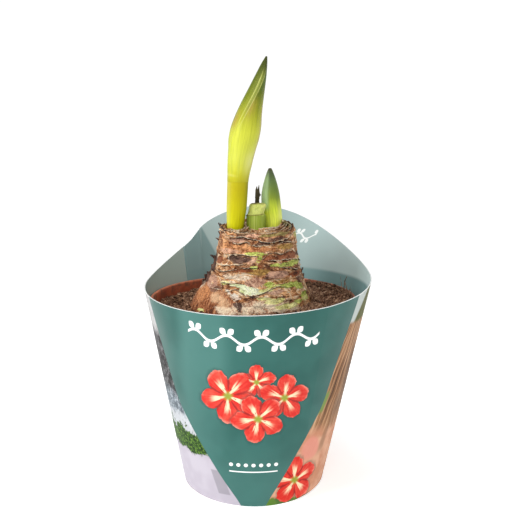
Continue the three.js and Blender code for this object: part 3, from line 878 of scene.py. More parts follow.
PATCHWORKS = tuple(Patchwork(*row) for row in (
    ("orange", (146, 78, 40), (232, 162, 106), 0.8, ((-36, 177.5, 13.8, 3.2), (-50, 168.4, 4.4, 2.6),
     (52, 146.4, 6.3, 1.9), (10, 178, 14, 1.8), (-66, 145, 9, 5), (-24, 163.4, 7, 1)), 8, (12, 2.6), 0.3),
    ("umber", (58, 36, 30), (134, 96, 78), 0.85, ((6, 181.6, 9, 1.5), (30, 184, 8, 1.3),
     (-25, 184.6, 8, 1.2), (48, 181.5, 6, 1.1), (-50, 150, 5, 2.2), (20, 158.5, 6, 0.7), (70, 155, 6, 4),
     (30, 144.8, 3, 0.9)), 6, (8, 1.8), 0.3),
    ("gold", (126, 86, 30), (196, 154, 78), 0.85, ((4, 162.4, 9.5, 1.9), (36, 155.2, 6.7, 1.2),
     (46, 178, 7.5, 1.9)), 4, (8, 1.8), 0.25),
    ("olive", (104, 98, 44), (176, 162, 96), 0.8, ((40, 187.6, 8, 1.3), (14, 187, 8, 1)), 2, (8, 1.4), 0.3),
    ("maroon", (66, 30, 18), (164, 88, 50), 0.92, ((32, 171.4, 14.8, 2.2), (58, 172.5, 8, 3.4),
     (-4, 165.9, 6, 0.8), (58, 158.6, 7, 1.8), (-60, 168, 4, 3), (-22, 163.2, 9, 1)), 6, (12, 2.4)),
    ("mauve", (138, 94, 78), (216, 170, 144), 0.88, ((2, 155.6, 6.6, 3.2), (30, 160.4, 9, 2.4),
     (26, 148.6, 6.3, 1.4), (-60, 153.5, 7.4, 3.6), (-30, 183, 8, 1.2)), 5, (7, 2.6)),
    ("blush", (190, 132, 104), (246, 198, 168), 0.7, ((-44, 175.5, 8.6, 1.4), (-10, 187.4, 7, 1.4),
     (-8, 169.8, 5, 1.8)), 4, (6, 1.6), 0.3),
    ("pink", (198, 136, 100), (255, 236, 204), 0.92, ((14, 140, 15, 4), (-7, 138.8, 9, 3.4),
     (-26, 136.9, 6.8, 3), (34, 135.4, 14, 3)), 5, (12, 3.2), 0.4),
    ("tan", (190, 132, 88), (244, 204, 162), 0.7, ((-40, 145, 6, 3.6), (-29, 141.5, 5, 3.2)), 0, (6, 2.2),
     0.5),
    ("cream", (206, 164, 122), (252, 232, 206), 0.92, ((-26, 158.2, 9, 1.9), (-16, 158.6, 6, 1.4),
     (-30, 154.5, 6.5, 0.9)), 5, (7, 1.6)),
    ("white", (255, 220, 192), (255, 246, 230), 0.95, ((-32, 149.6, 1.6, 0.4), (-29, 148.9, 2.1, 0.6),
     (-26, 148.1, 2.3, 0.7), (-23, 147.3, 2.4, 0.8), (-20, 146.5, 2.3, 0.8), (-17, 145.7, 2, 0.7),
     (-14, 144.9, 1.5, 0.5)), 0, (6, 2.2), 0.3),
    # Dark patches under a torn edge, partly painted shade there, and spots of painted shade at the left side.
    ("scar", (28, 18, 18), (112, 80, 70), 0.95, ((-38, 170.6, 4.5, 2.2), (-29, 170.2, 6, 2.9),
     (-18, 171, 5, 1.8), (-14, 141.2, 2.6, 1.6), (-12, 139.6, 1.8, 2.4), (-2, 146.3, 1.9, 0.8),
     (-80, 167, 4, 5), (-86, 153, 5, 5), (-92, 166, 4, 6), (-73, 166, 3, 4), (-77, 157, 4, 5),
     (-71, 161, 2.4, 3)), 4, (6, 2), 0.26),
    ("mint", (218, 226, 156), (250, 254, 222), 0.97, ((-6, 150.4, 7.4, 2.4), (5, 149.2, 5.4, 1.2),
     (-20, 153.2, 4.6, 1), (-12, 152.4, 3, 2)), 2, (7, 2)),
    ("lime", (204, 200, 92), (252, 248, 170), 0.94, ((11, 145.4, 5.2, 0.9), (22, 143.2, 6.8, 1.8),
     (36, 139.2, 8.8, 1.7), (-35, 153.9, 3.6, 1), (-55, 134.8, 3.4, 1), (66, 141.5, 6, 1.8),
     (14, 150.6, 5.4, 1.1), (28, 152.4, 3.6, 0.8)), 4, (7, 1.8), 0.2),
    ("green", (148, 164, 46), (222, 234, 122), 0.94, ((-2, 174.6, 6.4, 1.2), (4, 170.9, 1.5, 2.6),
     (-4, 165.7, 2.7, 1), (28, 166.6, 5.4, 1), (52, 166.4, 11.5, 1.8), (18, 153.8, 4, 1.9),
     (47, 151.8, 9, 1.7), (62, 149.8, 6, 1.7), (50, 141.2, 4.4, 1.2), (67, 144, 6, 1.4)), 6, (8, 1.9)),
))


@dataclass(frozen=True)
class PaperyTunic:
    """Dry bulb skin in torn layers, with patches where it has come away."""

    patchworks: tuple[Patchwork, ...] = PATCHWORKS
    tunic_height: float = 4.6
    patch_threshold: float = 0.43
    dark: Colour = (88, 46, 26)
    brown: Colour = (178, 114, 68)
    tan: Colour = (244, 184, 126)
    pale: Colour = (255, 240, 208)
    dull_dark: Colour = (112, 78, 58)
    dull_pale: Colour = (244, 208, 180)
    leaf_dark: Colour = (78, 36, 20)
    leaf: Colour = (158, 92, 54)
    leaf_pale: Colour = (224, 164, 118)
    painted_crevice_shade: Colour = (40, 24, 20)

    def material(self) -> Material:
        """Streaks along each tunic, veins up it, patches with specks, pale torn edges, and painted shade in
        gaps and cracks.

        Returns:
            The finish.
        """
        bench = Bench("papery_tunic")
        place = bench.place()
        x, y, _ = bench.axes(place)
        along = bench.point(x, y, bench.mark("level") * self.tunic_height * 3)
        streaks = bench.noise(along, 0.15, 5, 0.68, 0.4)
        wisps = bench.noise(along, 0.6, 4, 0.7)
        veins = bench.noise(bench.stretch(place, 1, 1, 0.2), 0.9, 5, 0.7, 0.6)
        folds = bench.noise(bench.stretch(place, 1, 1, 0.3), 0.34, 4, 0.68, 1.2)
        speck = bench.noise(place, 1.15, 4, 0.78)
        cloud = bench.noise(bench.stretch(place, 1, 1, 2.2), 0.1, 3, 0.6)
        leaf = bench.mark("leaf")
        tone = streaks * 0.8 + wisps * 0.4 + (speck - 0.5) * 0.42 + (veins - 0.5) * 0.2
        tone = tone + (bench.mark("tone") - 0.5) * 0.14 - 0.1
        skin = bench.ramp(tone, (0.35, self.dark), (0.44, self.brown), (0.54, self.tan), (0.66, self.pale))
        dull = (cloud * 0.6 + wisps * 0.5).rise(0.52, 0.66) * 0.4
        skin = bench.mix(dull, skin, bench.mix(tone.rise(0.36, 0.62), self.dull_dark, self.dull_pale))
        fibre = veins * 0.5 + folds * 1.1 + speck * 0.3 - 0.45
        hide = bench.ramp(fibre, (0.34, self.leaf_dark), (0.5, self.leaf), (0.68, self.leaf_pale))
        skin = bench.mix(leaf, skin, hide)
        mottle = speck + (veins - 0.5) * 0.6 + (streaks - 0.5) * 1.6 + (wisps - 0.5) * 0.6 + 0.05
        torn = (speck - 0.5) * 0.45 + (wisps - 0.5) * 0.5
        for work in self.patchworks:
            patch = bench.mix(mottle.rise(0.2, 0.72), work.low, work.high)
            start, end = self.patch_threshold - work.edge / 2, self.patch_threshold + work.edge / 2
            cover = (bench.mark(work.name) + torn).rise(start, end)
            skin = bench.mix(cover * work.strength, skin, patch)
        flecks = bench.noise(place, 1.6, 2, 0.6)
        skin = bench.mix(flecks.rise(0.6, 0.68) * 0.6, skin, self.dark)
        skin = bench.mix(flecks.rise(0.36, 0.29) * 0.35, skin, self.pale)
        # Painted shade along thin cracks and creases.
        crack = abs(bench.noise(along, 0.13, 3, 0.6, 0.6) - 0.5).rise(0.012, 0.004)
        crease = abs(bench.noise(along, 0.3, 2, 0.6, 0.8) - 0.5).rise(0.02, 0.006) * cloud.rise(0.4, 0.55)
        lines = crack.most(crease * 0.8) * (1 - leaf)
        fringe = (bench.mark("fringe") * (0.45 + wisps * 0.9) + torn * 1.2).rise(0.5, 0.8)
        skin = bench.mix(fringe * 0.85, skin, self.pale)
        # Painted shade: darkened under overhanging torn edges, deep between layers, in the neck's mouth and
        # along cracks.
        skin = bench.mix(bench.mark("under").most(lines * 0.62) * 0.9, skin, self.painted_crevice_shade)
        relief = streaks * 0.35 + wisps * 0.3 + veins * 0.2 + speck * 0.25 + folds * leaf * 0.5 - lines * 0.15
        return bench.done(
            Base_Color=skin,
            Roughness=0.5 + 0.3 * wisps,
            Specular_IOR_Level=0.2,
            Normal=bench.bump(relief, 1.9),
        )


@dataclass(frozen=True)
class ShootSkin:
    """Smooth waxy plant skin whose colour runs from foot to tip, with veins along it."""

    name: str
    stops: tuple[tuple[float, Colour], ...]
    vein: Colour
    veins: float = 0.3
    gloss: float = 0.34
    haze: Colour = (176, 204, 150)
    shine: float = 0.22
    tint: Colour = (168, 136, 70)
    shade: Colour = (78, 98, 24)
    glow: Colour = (226, 226, 138)
    dry: Colour = (96, 66, 42)

    def material(self) -> Material:
        """Colour by height, streaked along the grain, with a faint relief of ribs.

        Returns:
            The finish.
        """
        bench = Bench(self.name)
        grain = bench.node("ShaderNodeAttribute", {"attribute_name": "grain"}).outputs["Vector"]
        climb = bench.axes(grain)[2]
        streaks = bench.noise(bench.stretch(grain, 1, 1, 0.5), 5, 4, 0.6)
        fine = bench.noise(bench.stretch(grain, 1, 1, 0.25), 17, 3, 0.6)
        cloud = bench.noise(bench.place(), 0.09, 3)
        colour = bench.ramp(climb + (streaks - 0.5) * 0.16, *self.stops)
        colour = bench.mix((streaks * 0.5 + fine * 0.6).rise(0.5, 0.72) * self.veins, colour, self.vein)
        for mark in ("tint", "shade", "haze", "glow", "dry"):
            colour = bench.mix(bench.mark(mark), colour, getattr(self, mark))
        return bench.done(
            Base_Color=colour,
            Roughness=self.gloss + 0.12 * cloud + 0.35 * bench.mark("dry"),
            Normal=bench.bump(fine * 0.6 + streaks * 0.6, 0.22),
            Specular_IOR_Level=self.shine,
            Subsurface_Weight=0.12,
            Subsurface_Radius=(0.9, 1.0, 0.3),
            Subsurface_Scale=3 * MM,
        )


@dataclass(frozen=True)
class StudioPaper:
    """The plain pale floor, lit a little from below."""

    glow: float = 0.5

    def material(self) -> Material:
        """White paper with a barely visible mottle.

        Returns:
            The finish.
        """
        bench = Bench("studio_paper")
        white = bench.mix(bench.noise(bench.place(), 0.01, 2), (246, 246, 246), (250, 250, 250))
        light = {"Emission_Color": (1, 1, 1, 1), "Emission_Strength": self.glow}
        return bench.done(Base_Color=white, Roughness=0.9, **light)


@dataclass
class Pot:
    """The growing pot: a tapered wall with a collar, and a floor with a foot ring and drain holes."""

    height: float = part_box("pot")[1].z / MM
    rim_radius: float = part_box("pot")[1].x / MM
    base_radius: float = 50.0
    wall: float = 1.6
    collar_height: float = 12.0
    collar_wall: float = 2.6
    collar_step: float = 3.0
    lip_radius: float = 1.3
    foot_height: float = 2.5
    floor_top: float = 5.0
    foot_ring_width: float = 5.0
    foot_ring_slope: float = 1.5
    centre_foot_radius: float = 10.0
    drain_holes: int = 8
    drain_hole_radius: float = 4.0
    drain_circle_radius: float = 30.0
    sector_sides: int = 24
    sharp: float = 35.0

    @property
    def collar_bottom(self) -> float:
        """Height where the collar starts."""
        return self.height - self.collar_height

    def body_radius(self, z: Array) -> Array:
        """Outer radius of the tapered body: a straight line from the base to the collar."""
        top = self.rim_radius - self.collar_wall - 1
        return self.base_radius + (top - self.base_radius) * z / self.collar_bottom

    def inner_radius(self, z: Array) -> Array:
        """Inner radius: the tapered body, a short step, then the collar.

        Args:
            z: the height.

        Returns:
            The radius there.
        """
        body = self.body_radius(np.minimum(z, self.collar_bottom)) - self.wall
        step = np.clip((z - self.collar_bottom) / self.collar_step, 0, 1)
        return body + (self.rim_radius - self.collar_wall - body) * step

    def wall_outline(self) -> Array:
        """The wall from the floor's outer edge under the foot, up the outside, over the rim and down.

        Returns:
            The radius and the height of each point.
        """
        rim, low, base = self.rim_radius, self.collar_bottom, self.base_radius
        floor, inner, round_off = self.floor_top, self.inner_radius, self.lip_radius
        ring = base - self.foot_ring_width
        start = ring - self.foot_ring_slope
        arc = [(math.sin(a) - 1, math.cos(a) - 1) for a in np.linspace(1.5, -1.4, 9)]
        lip = [(rim + round_off * out, self.height + round_off * up) for out, up in arc]
        foot = [(start, self.foot_height), (ring - 0.3, 0.3), (ring, 0), (base - 1.2, 0), (base - 0.4, 0.4)]
        body = [(self.body_radius(z), z) for z in (1.5, 60)]
        step = [(self.body_radius(low) - 0.1, low - 0.4), (self.body_radius(low), low), (rim - 1.6, low)]
        collar = [(rim - 1.2, low + 0.4), (rim - 0.25, self.height - 5)]
        inside = [(inner(z), z) for z in (low + 8, low + 3, low, 60, 7)]
        corner = [(inner(floor) - 0.6, floor + 0.3), (inner(floor) - 1.5, floor), (start, floor)]
        return np.array([*foot, *body, *step, *collar, *lip, *inside, *corner], float)

    def lathe(self, outline: Array) -> Patch:
        """Rings of an outline turned about the axis."""
        return Patch(polar(around(self.drain_holes * self.sector_sides), outline[:, :1], outline[:, 1:]))

    def floor_sector(self, number: int) -> Patch:
        """One part of the floor round its drain hole.

        Straight lines run from the sector's edge along the underside in to the hole, up its wall and out over
        the top.

        Args:
            number: which sector, counted from the front.

        Returns:
            The sector's patch.
        """
        width = TURN / self.drain_holes
        start = number * width
        inner = self.centre_foot_radius + 1
        outer = self.base_radius - self.foot_ring_width - self.foot_ring_slope
        across = np.linspace(0, 1, self.sector_sides, endpoint=False)
        along = np.linspace(0, 1, self.sector_sides // 2, endpoint=False)
        azimuth = start + width * np.concatenate([1 - across, 0 * along, across, 1 + 0 * along])
        outwards, inwards = inner + (outer - inner) * along, outer + (inner - outer) * along
        radius = np.concatenate([outer + 0 * across, inwards, inner + 0 * across, outwards])
        edge = polar(azimuth, radius, 0.0)
        hole = polar(np.array(start + width / 2), self.drain_circle_radius, 0.0)
        away = edge - hole
        rim = hole + away / np.linalg.norm(away, axis=-1, keepdims=True) * self.drain_hole_radius
        share = np.array([1, 0.6, 0.2, 0, 0, 0.2, 0.6, 1])[:, None, None]
        level = np.repeat([self.foot_height, self.floor_top], 4)[:, None, None] * np.array([0, 0, 1.0])
        return Patch(rim + (edge - rim) * share + level)

    def build(self) -> None:
        """Makes the pot and hands it over."""
        foot = self.centre_foot_radius
        under = np.array([(0, 0), (foot - 0.4, 0), (foot, 0.3), (foot + 1, self.foot_height)])
        above = np.array([(foot + 1, self.floor_top), (0, self.floor_top)])
        turned = [self.lathe(outline) for outline in (self.wall_outline(), under, above)]
        patches = [*turned, *(self.floor_sector(number) for number in range(self.drain_holes))]
        piece = mesh_of("growing_pot", patches, [TerracottaPlastic().material()], self.sharp)
        hand_over(piece, "pot")


@dataclass
class Sleeve:
    """The card sleeve: a cone that opens upwards, with two opposite creases and a rounded flap behind.

    Attributes:
        panel_edge: half width of the teal panels against height, in degrees.
        panel_turn: how far the front panel's middle is turned against height, in degrees.
    """

    front_height: float = 144.2
    base_radius: float = 51.15
    top_radius: float = 80.35
    wall: float = 0.7
    lean: float = 2.8
    side_rise: float = 6.3
    flap_rise: float = 42.7
    flap_start: float = 66 * DEGREE
    flap_ease: float = 1.52
    top_skew: float = 2.5
    back_skew: float = -1.0
    hem_rise: float = 4.25
    hem_skew: float = 0.147
    hem_left: float = 0.42
    crease: float = 35 * DEGREE
    crease_bulge: float = 0.012
    crease_spread: float = 15 * DEGREE
    kink_rise: float = 3.2
    kink_width: float = 5 * DEGREE
    kink_reach: float = 100 * DEGREE
    lap: tuple[float, float] = (-147 * DEGREE, -136 * DEGREE)
    lap_wall: float = 0.5
    lap_step: float = 0.05 * DEGREE
    sides: int = 384
    levels: int = 56
    sharp: float = 40.0
    bare_border: float = 0.25
    buckle: float = 0.12
    panel_edge: Curve = Curve((
        (-5, 8), (1, 10), (21, 22), (41, 32.6), (57, 40.7), (73, 48), (92, 52.2), (110, 55.5),
        (146, 62.4), (200, 70),
    ))
    panel_turn: Curve = Curve(((-5, 0.6), (1, 0.5), (57, -3.0), (92, -4.3), (146, -4.6), (200, -4.6)))

    def radius(self, azimuth: Array, z: Array) -> Array:
        """Outer radius: the cone, drawn out along the creases by an exponential, with faint long buckles.

        Args:
            azimuth, z: of the points.

        Returns:
            The radius there.
        """
        cone = self.base_radius + (self.top_radius - self.base_radius) * z / self.front_height
        turn = np.mod(azimuth - self.crease, math.pi)
        from_crease = np.minimum(turn, math.pi - turn)
        buckles = skin_noise(azimuth, z, (self.buckle, 14, 160, 2)) * rise(from_crease, 0, 0.2)
        return cone * (1 + self.crease_bulge * np.exp(-from_crease / self.crease_spread)) + buckles

    def top(self, azimuth: Array) -> Array:
        """Height of the top edge: nearly level in front, an S-curve to the flap, a kink at the back crease.

        Args:
            azimuth: between -pi and pi.

        Returns:
            The height at each azimuth.
        """
        size = np.abs(azimuth)
        side = self.side_rise * (1 - np.cos(np.minimum(size, math.pi / 2)))
        share = np.clip((size - self.flap_start) / (math.pi - self.flap_start), 0, 1) ** self.flap_ease
        flap = self.flap_rise * (1 - np.cos(math.pi * share)) / 2
        behind = size > math.pi / 2
        skew = self.top_skew * np.sin(azimuth) + np.where(behind, self.back_skew * np.sin(2 * azimuth), 0)
        back_crease = self.crease - math.pi
        past = back_crease - azimuth
        left = 1 - (past / (math.pi + back_crease)) ** 2
        right = np.clip(1 + past / self.kink_reach, 0, 1) ** 2
        kink = self.kink_rise * np.tanh(past / self.kink_width) * np.where(past > 0, left, right)
        return self.front_height + side + flap + skew + kink

    def hem(self, azimuth: Array) -> Array:
        """Height of the lower edge, a parabola of the azimuth's sine that is lower on the left."""
        out = np.sin(azimuth) - self.hem_skew
        return self.hem_rise * np.where(out < 0, self.hem_left, 1) * out**2

    def azimuths(self) -> Array:
        """Even steps, with a point on each crease and two at each edge of the glued lap.

        Returns:
            The azimuths, in one row.
        """
        edges = [edge + side * self.lap_step for edge in self.lap for side in (-1, 1)]
        extra = np.mod([[self.crease, self.crease + math.pi, *edges]], TURN)
        return np.sort(np.concatenate([around(self.sides), extra], axis=1))

    def build(self) -> None:
        """Makes the sleeve and hands it over.

        Rows run up the outside from the hem, over the cut edge, down the inside and through the lower cut.
        """
        azimuth = signed(self.azimuths())
        low, high = self.hem(azimuth), self.top(azimuth)
        up = np.linspace(0, 1, self.levels)[:, None]
        outside, inside = low + (high - low - self.bare_border) * up, low + (high - low) * up[::-1]
        height = np.concatenate([outside, high, inside])
        lapped = (azimuth > self.lap[0]) & (azimuth < self.lap[1])
        inset = np.concatenate([0 * up, [[0]], 1 + 0 * up]) * (self.wall + self.lap_wall * lapped)
        lean = self.lean * height / self.front_height
        points = polar(azimuth, self.radius(azimuth, height) - inset, height, lean)
        half, turn = self.panel_edge.at(height), self.panel_turn.at(height)
        degrees = azimuth / DEGREE
        panel = half - np.minimum(np.abs(degrees - turn), np.abs(180 - np.abs(degrees)))
        slots = np.concatenate([np.zeros(self.levels - 1), [2, 2], np.ones(self.levels - 1), [2]])
        marks = {"panel": panel, "right_side": (azimuth > 0) + 0 * height}
        patch = Patch(points, loop=True, slots=slots, marks=marks)
        finishes = [PrintedCard(face).material() for face in CardFace]
        hand_over(mesh_of("card_sleeve", [patch], finishes, self.sharp), "sleeve")


@dataclass
class Bulb:
    """The bulb: a swollen body in torn papery tunics, with its neck and the layers round the shoots.

    Attributes:
        outline: radius against height.
        axis: how far the middle lies to the right, against height.
        torn_edges: height of each torn edge against azimuth in degrees, from the lowest up.
        bold_lips: number of a torn edge from the lowest, azimuth in degrees of its boldest place, and reach.
        curled_flakes: azimuth in degrees, height, width, rise, flare and thickness of each flake.
        hanging_flakes: the same; a negative rise hangs down.
        knob: azimuth in degrees and height of the bulge beside the scar, half width, half height and relief.
        fibrous_top: height of the fibrous sheet's edge against azimuth in degrees.
        leaf_top: the same for the leafy sheet's edge.
        collars: what `collar` takes for the first of some nested layers, its steps to the next, and how many.
    """

    outline: Curve = Curve((
        (60, 15), (66, 30), (76, 40.5), (90, 47), (106, 49.3), (120, 47.6), (131, 44.2), (141, 40.3),
        (151, 35.4), (160, 31.6), (170, 29), (180, 27.4), (188, 26.2), (195, 25),
    ))
    axis: Curve = Curve(((60, -0.8), (131, -0.8), (150, 1.2), (165, 2.6), (180, 3.2), (195, 3)))
    buried: tuple = (60, 63, 67, 74, 84, 96, 108, 119)
    bare_from: float = 129.0
    neck_lip: float = 189.7
    neck_tilt: float = 2.3
    neck_wall: float = 3.2
    mouth_floor: float = 184.5
    lip_reach: float = 1.6
    least_gap: float = 1.3
    sides: int = 432
    levels: int = 196
    patch_seed: int = 5
    collar_sides: int = 260
    flake_count: int = 70
    flake_seed: int = 11
    torn_edges: tuple[Curve, ...] = tuple(map(Curve, (
        ((-180, 143), (-110, 141), (-60, 142), (-14, 145.3), (16, 146.1), (27, 145.4), (34, 142.7),
         (51, 142.9), (66, 145), (120, 142), (180, 143)),
        ((-180, 149), (-120, 147), (-60, 149), (-29, 148.8), (-20, 150.6), (-9, 147.2), (3, 147.6),
         (24, 151.7), (43, 150.4), (54, 147), (66, 147.2), (120, 149), (180, 149)),
        ((-180, 153), (-120, 155), (-60, 153.6), (-42, 154.4), (-23, 154.2), (-11, 157.6), (-4, 153.2),
         (8, 151.4), (16, 152.6), (24, 156.3), (30, 153.7), (48, 154.8), (66, 153.5), (120, 151),
         (180, 153)),
        ((-180, 158.5), (-120, 160), (-60, 157.5), (-44, 157.8), (-31, 161.2), (0, 160.3), (12, 157.4),
         (46, 156.6), (70, 156), (120, 158), (180, 158.5)),
        ((-180, 163), (-120, 164), (-60, 161), (-32, 162.6), (-20, 164.3), (19, 165.6), (44, 163.8),
         (66, 161.7), (120, 163), (180, 163)),
        ((-180, 169), (-120, 168), (-60, 165), (-40, 165.7), (-13, 167), (2, 167.6), (8, 169.3),
         (42, 169.2), (69, 168), (120, 167), (180, 169)),
        ((-180, 174), (-120, 176), (-60, 171.4), (-46, 173), (-26, 173.3), (1, 172.7), (7, 171.2),
         (18, 174.9), (36, 173.7), (54, 175.3), (72, 176.8), (120, 173), (180, 174)),
        ((-180, 180.5), (-120, 179), (-64, 182), (-44, 181.6), (-27, 180.7), (-15, 181.6), (-4, 180),
         (5, 180.7), (26, 179.6), (44, 181.3), (64, 179.6), (80, 178), (120, 181), (180, 180.5)),
        ((-180, 186), (-120, 186.5), (-58, 188), (-47, 185.7), (-21, 185.8), (0, 183.7), (12, 182.4),
         (28, 182.7), (48, 183.8), (72, 186.6), (120, 186), (180, 186)),
    )))
    bold_lips: tuple = (
        (7, -25, 22), (7, 36, 24), (5, 52, 14), (5, -8, 10), (9, -42, 16), (9, 32, 20), (8, -30, 12),
        (8, 48, 16), (2, 4, 8), (6, 36, 16), (3, 30, 10),
    )
    curled_flakes: tuple = (
        (-90, 179, 5, 2.8, 2.6, 0.7), (-98, 182, 5, 3.6, 1.6, 0.5), (-88, 165, 8, 5, 4.4, 1.2),
        (-84, 162.5, 10, 6, 1.6, 1.2), (-96, 162.5, 10, 6, 1.8, 1.2), (-77, 160, 8, 6, 1, 0.9),
        (-86, 150.5, 12, 7.5, 2.4, 1.3), (-78, 151, 9, 6, 1.4, 1), (-97, 149.5, 12, 6, 3, 1.3),
        (-91, 145.5, 10, 5, 2.4, 1.2), (-82, 157.5, 8, 5, 1.4, 1), (86, 155.5, 8, 4.8, 2.2, 0.7),
        (94, 151, 8, 3.4, 1.8, 0.6), (-70, 186.2, 9, 5.4, 1.4, 0.4), (-88, 186.6, 8, 5.8, 2, 0.4),
        (-48, 186, 9, 3.4, 0.8, 0.4), (-104, 186, 8, 5, 1.8, 0.4),
    )
    hanging_flakes: tuple = (
        (-6.5, 184, 9, -3.8, 1.5, 0.35), (-38, 186.2, 9, -1.6, 0.9, 0.35),
        (36, 184.6, 8, -2, 1, 0.3), (52, 177.4, 7, -1.8, 0.9, 0.3), (-36, 174.6, 8, -1.6, 1.1, 0.35),
        (14, 176.4, 6, -1.8, 0.9, 0.3), (-62, 174, 7, -2, 1, 0.3), (32, 170.6, 6, -1.4, 0.8, 0.3),
    )
    knob: tuple = (-52, 169.0, 4.0, 3.2, 0.9)
    fibrous_top: Curve = Curve((
        (-96, 146), (-84, 150), (-75, 154.5), (-69, 158.2), (-56, 157.6), (-50, 158.2), (-44, 155.1),
        (-39, 150.7), (-34, 145), (-30, 130),
    ))
    leaf_top: Curve = Curve((
        (-104, 124), (-94, 141), (-86, 146.2), (-73, 150.5), (-65, 152.8), (-58, 150.4), (-41, 150),
        (-33, 149.1), (-23, 145.8), (-16, 142.5), (-12, 137), (-9, 124),
    ))

    collars: tuple = (
        ((8.6, 0.5, 13, 9.4, 191, 1.7, 2.4, 31), (0, 0, 1.5, 2.1, -0.62, 0.3, -0.35, 6), 6),
        ((-12.6, -5.8, 8.5, 9.1, 190.6, 0.9, 0.4, 71), (0, 0, 1.5, 1.5, -0.7, 0, 0, 6), 2),
        ((2.8, 0.6, 24.2, 23.6, 189.9, 2, 0.6, 91), (0, 0, 0, 0, 0, 0, 0, 0), 1),
    )

    def radius(self, z: Array) -> Array:
        """Radius of the smooth body."""
        return self.outline.at(z)

    def frayed(self, azimuth: Array, seed: float) -> Array:
        """Fine teeth of a torn edge, from -1 to 1: sharp ridges of two sizes."""
        sizes = (0.6, 110, seed), (0.4, 260, seed + 3)
        return sum(share * (1 - 2 * np.abs(round_noise(azimuth, *size))) for share, *size in sizes)

    def wander(self, azimuth: Array, z: Array) -> Array:
        """How far a torn edge wanders up and down: noise of three sizes, the finest giving it teeth."""
        return skin_noise(azimuth, z, (0.5, 26, 6, 2), (0.35, 60, 3, 3), (0.25, 150, 1.5, 4))

    def edges(self, azimuth: Array) -> Array:
        """Height of every torn edge at some azimuths, each kept above the one below it.

        Args:
            azimuth: in radians, of any shape.

        Returns:
            The heights, with the edges along a first axis.
        """
        degrees = signed(azimuth) / DEGREE
        heights = []
        for number, edge in enumerate(self.torn_edges):
            ragged = 0.4 * round_noise(azimuth, 40, number + 60) + 0.2 * self.frayed(azimuth, number)
            height = edge.at(degrees) + ragged
            heights.append(np.maximum(height, heights[-1] + self.least_gap) if heights else height)
        return np.stack(heights)

    def lip_strength(self, azimuth: Array, number: Array) -> Array:
        """How boldly a torn edge stands out: noise along it, and more at its bold places.

        Args:
            azimuth: of the points.
            number: which edge, counted from the lowest, which is 1.

        Returns:
            From 0.08 to 1.6.
        """
        bold = 0.0 * number
        for edge, middle, reach in self.bold_lips:
            gap = signed(azimuth - middle * DEGREE) / (reach * DEGREE)
            bold = np.maximum(bold, np.exp(-(gap**4)) * (number == edge))
        return np.clip(0.52 + 1.0 * round_noise(azimuth, 9, number) + 0.75 * bold, 0.08, 1.6)

    def tunic_relief(self, azimuth: Array, z: Array) -> Marks:
        """Torn tunics that overhang one another.

        At a height a above the torn edge below and b under the edge above, the skin stands out by
        lip exp(-a / 1.6) - 0.45 lip' (1 - b / 1.4), where the lips fade in and out along each edge.

        Args:
            azimuth, z: of the points.

        Returns:
            "out", how near a torn edge is ("fringe"), painted shadow under an overhanging edge ("under"),
            each tunic's own "tone" and "level", which counts the tunics upwards.
        """
        z = z + self.wander(azimuth, z)
        edges = self.edges(azimuth)
        number = (z > edges).sum(axis=0)
        fence = np.concatenate([edges[:1] - 9, edges, edges[-1:] + 9]) + 0 * z
        lower, upper = (np.take_along_axis(fence, number[None] + step, axis=0)[0] for step in (0, 1))
        above, below = z - lower, upper - z
        firm = 0.55 + 0.6 * rise(z, 145, 170)
        lip, next_lip = (firm * self.lip_strength(azimuth, number + step) for step in (0, 1))
        lip = lip * (number > 0)
        return {
            "out": lip * np.exp(-above / self.lip_reach) - 0.45 * next_lip * np.clip(1 - below / 1.4, 0, 1),
            "fringe": rise(above, 0.8, 0.3) * np.minimum(1.2 * lip, 1),
            # Painted shadow just under each overhanging torn edge.
            "under": rise(0.35 + 0.75 * next_lip - below, 0, 0.7) * np.minimum(1.3 * next_lip, 1),
            "tone": 0.5 + 0.5 * np.sin(number * 2.4 + 3 * round_noise(azimuth, 4, number + 5)),
            "level": number + above / (upper - lower),
        }

    def scabs(self, azimuth: Array, z: Array, detail: float, height: float, seed: float) -> Marks:
        """Torn patches of outer skin: plateaus where noise passes a threshold, with a rim and painted shade
        round their foot.

        Args:
            azimuth, z: of the points.
            detail: patches in a turn.
            height: their usual height.
            seed: which noise they take.

        Returns:
            "out" from 0 to 1, "fringe" and "under".
        """
        patchy = skin_noise(azimuth, z + 0.5 * self.wander(azimuth, z), (1, detail, height, seed))
        patchy = patchy + skin_noise(azimuth, z, (0.3, detail * 3.3, height / 2.6, seed + 1))
        plateau = rise(patchy, 0.14, 0.21)
        # Painted shade in a band round the foot of each plateau.
        painted_groove_shade = rise(patchy, -0.02, 0.1) * (1 - plateau)
        return {"out": plateau, "fringe": between(patchy, 0.13, 0.19, 0.24, 0.34), "under": painted_groove_shade}

    def wrinkle(self, azimuth: Array, z: Array) -> Array:
        """Relief of the dry skin: lines round it, pleats up it, crumbs below and a crushed band at the neck.

        Args:
            azimuth, z: of the points.

        Returns:
            How far the skin stands out.
        """
        lines = skin_noise(azimuth, z, (0.2, 30, 1.3, 5), (0.12, 70, 0.8, 6))
        pleats = skin_noise(azimuth, z, (0.12, 150, 6, 7), (0.08, 210, 1.2, 12))
        ridges = 0.9 - 1.9 * np.abs(skin_noise(azimuth, z + 2 * lines, (1, 24, 3.4, 8)))
        crushed = rise(z, 181.5, 184.5) * ridges
        smoother = 1 - 0.5 * between(z, 174.5, 176.5, 180.5, 182.5)
        lumps = skin_noise(azimuth, z, (0.35, 130, 1.7, 17), (0.3, 60, 3.2, 18))
        uneven = 0.9 + skin_noise(azimuth, z, (0.4, 9, 14, 16))
        return 0.8 * (lines + pleats) * smoother * uneven + 0.55 * crushed + lumps * rise(z, 148, 143)

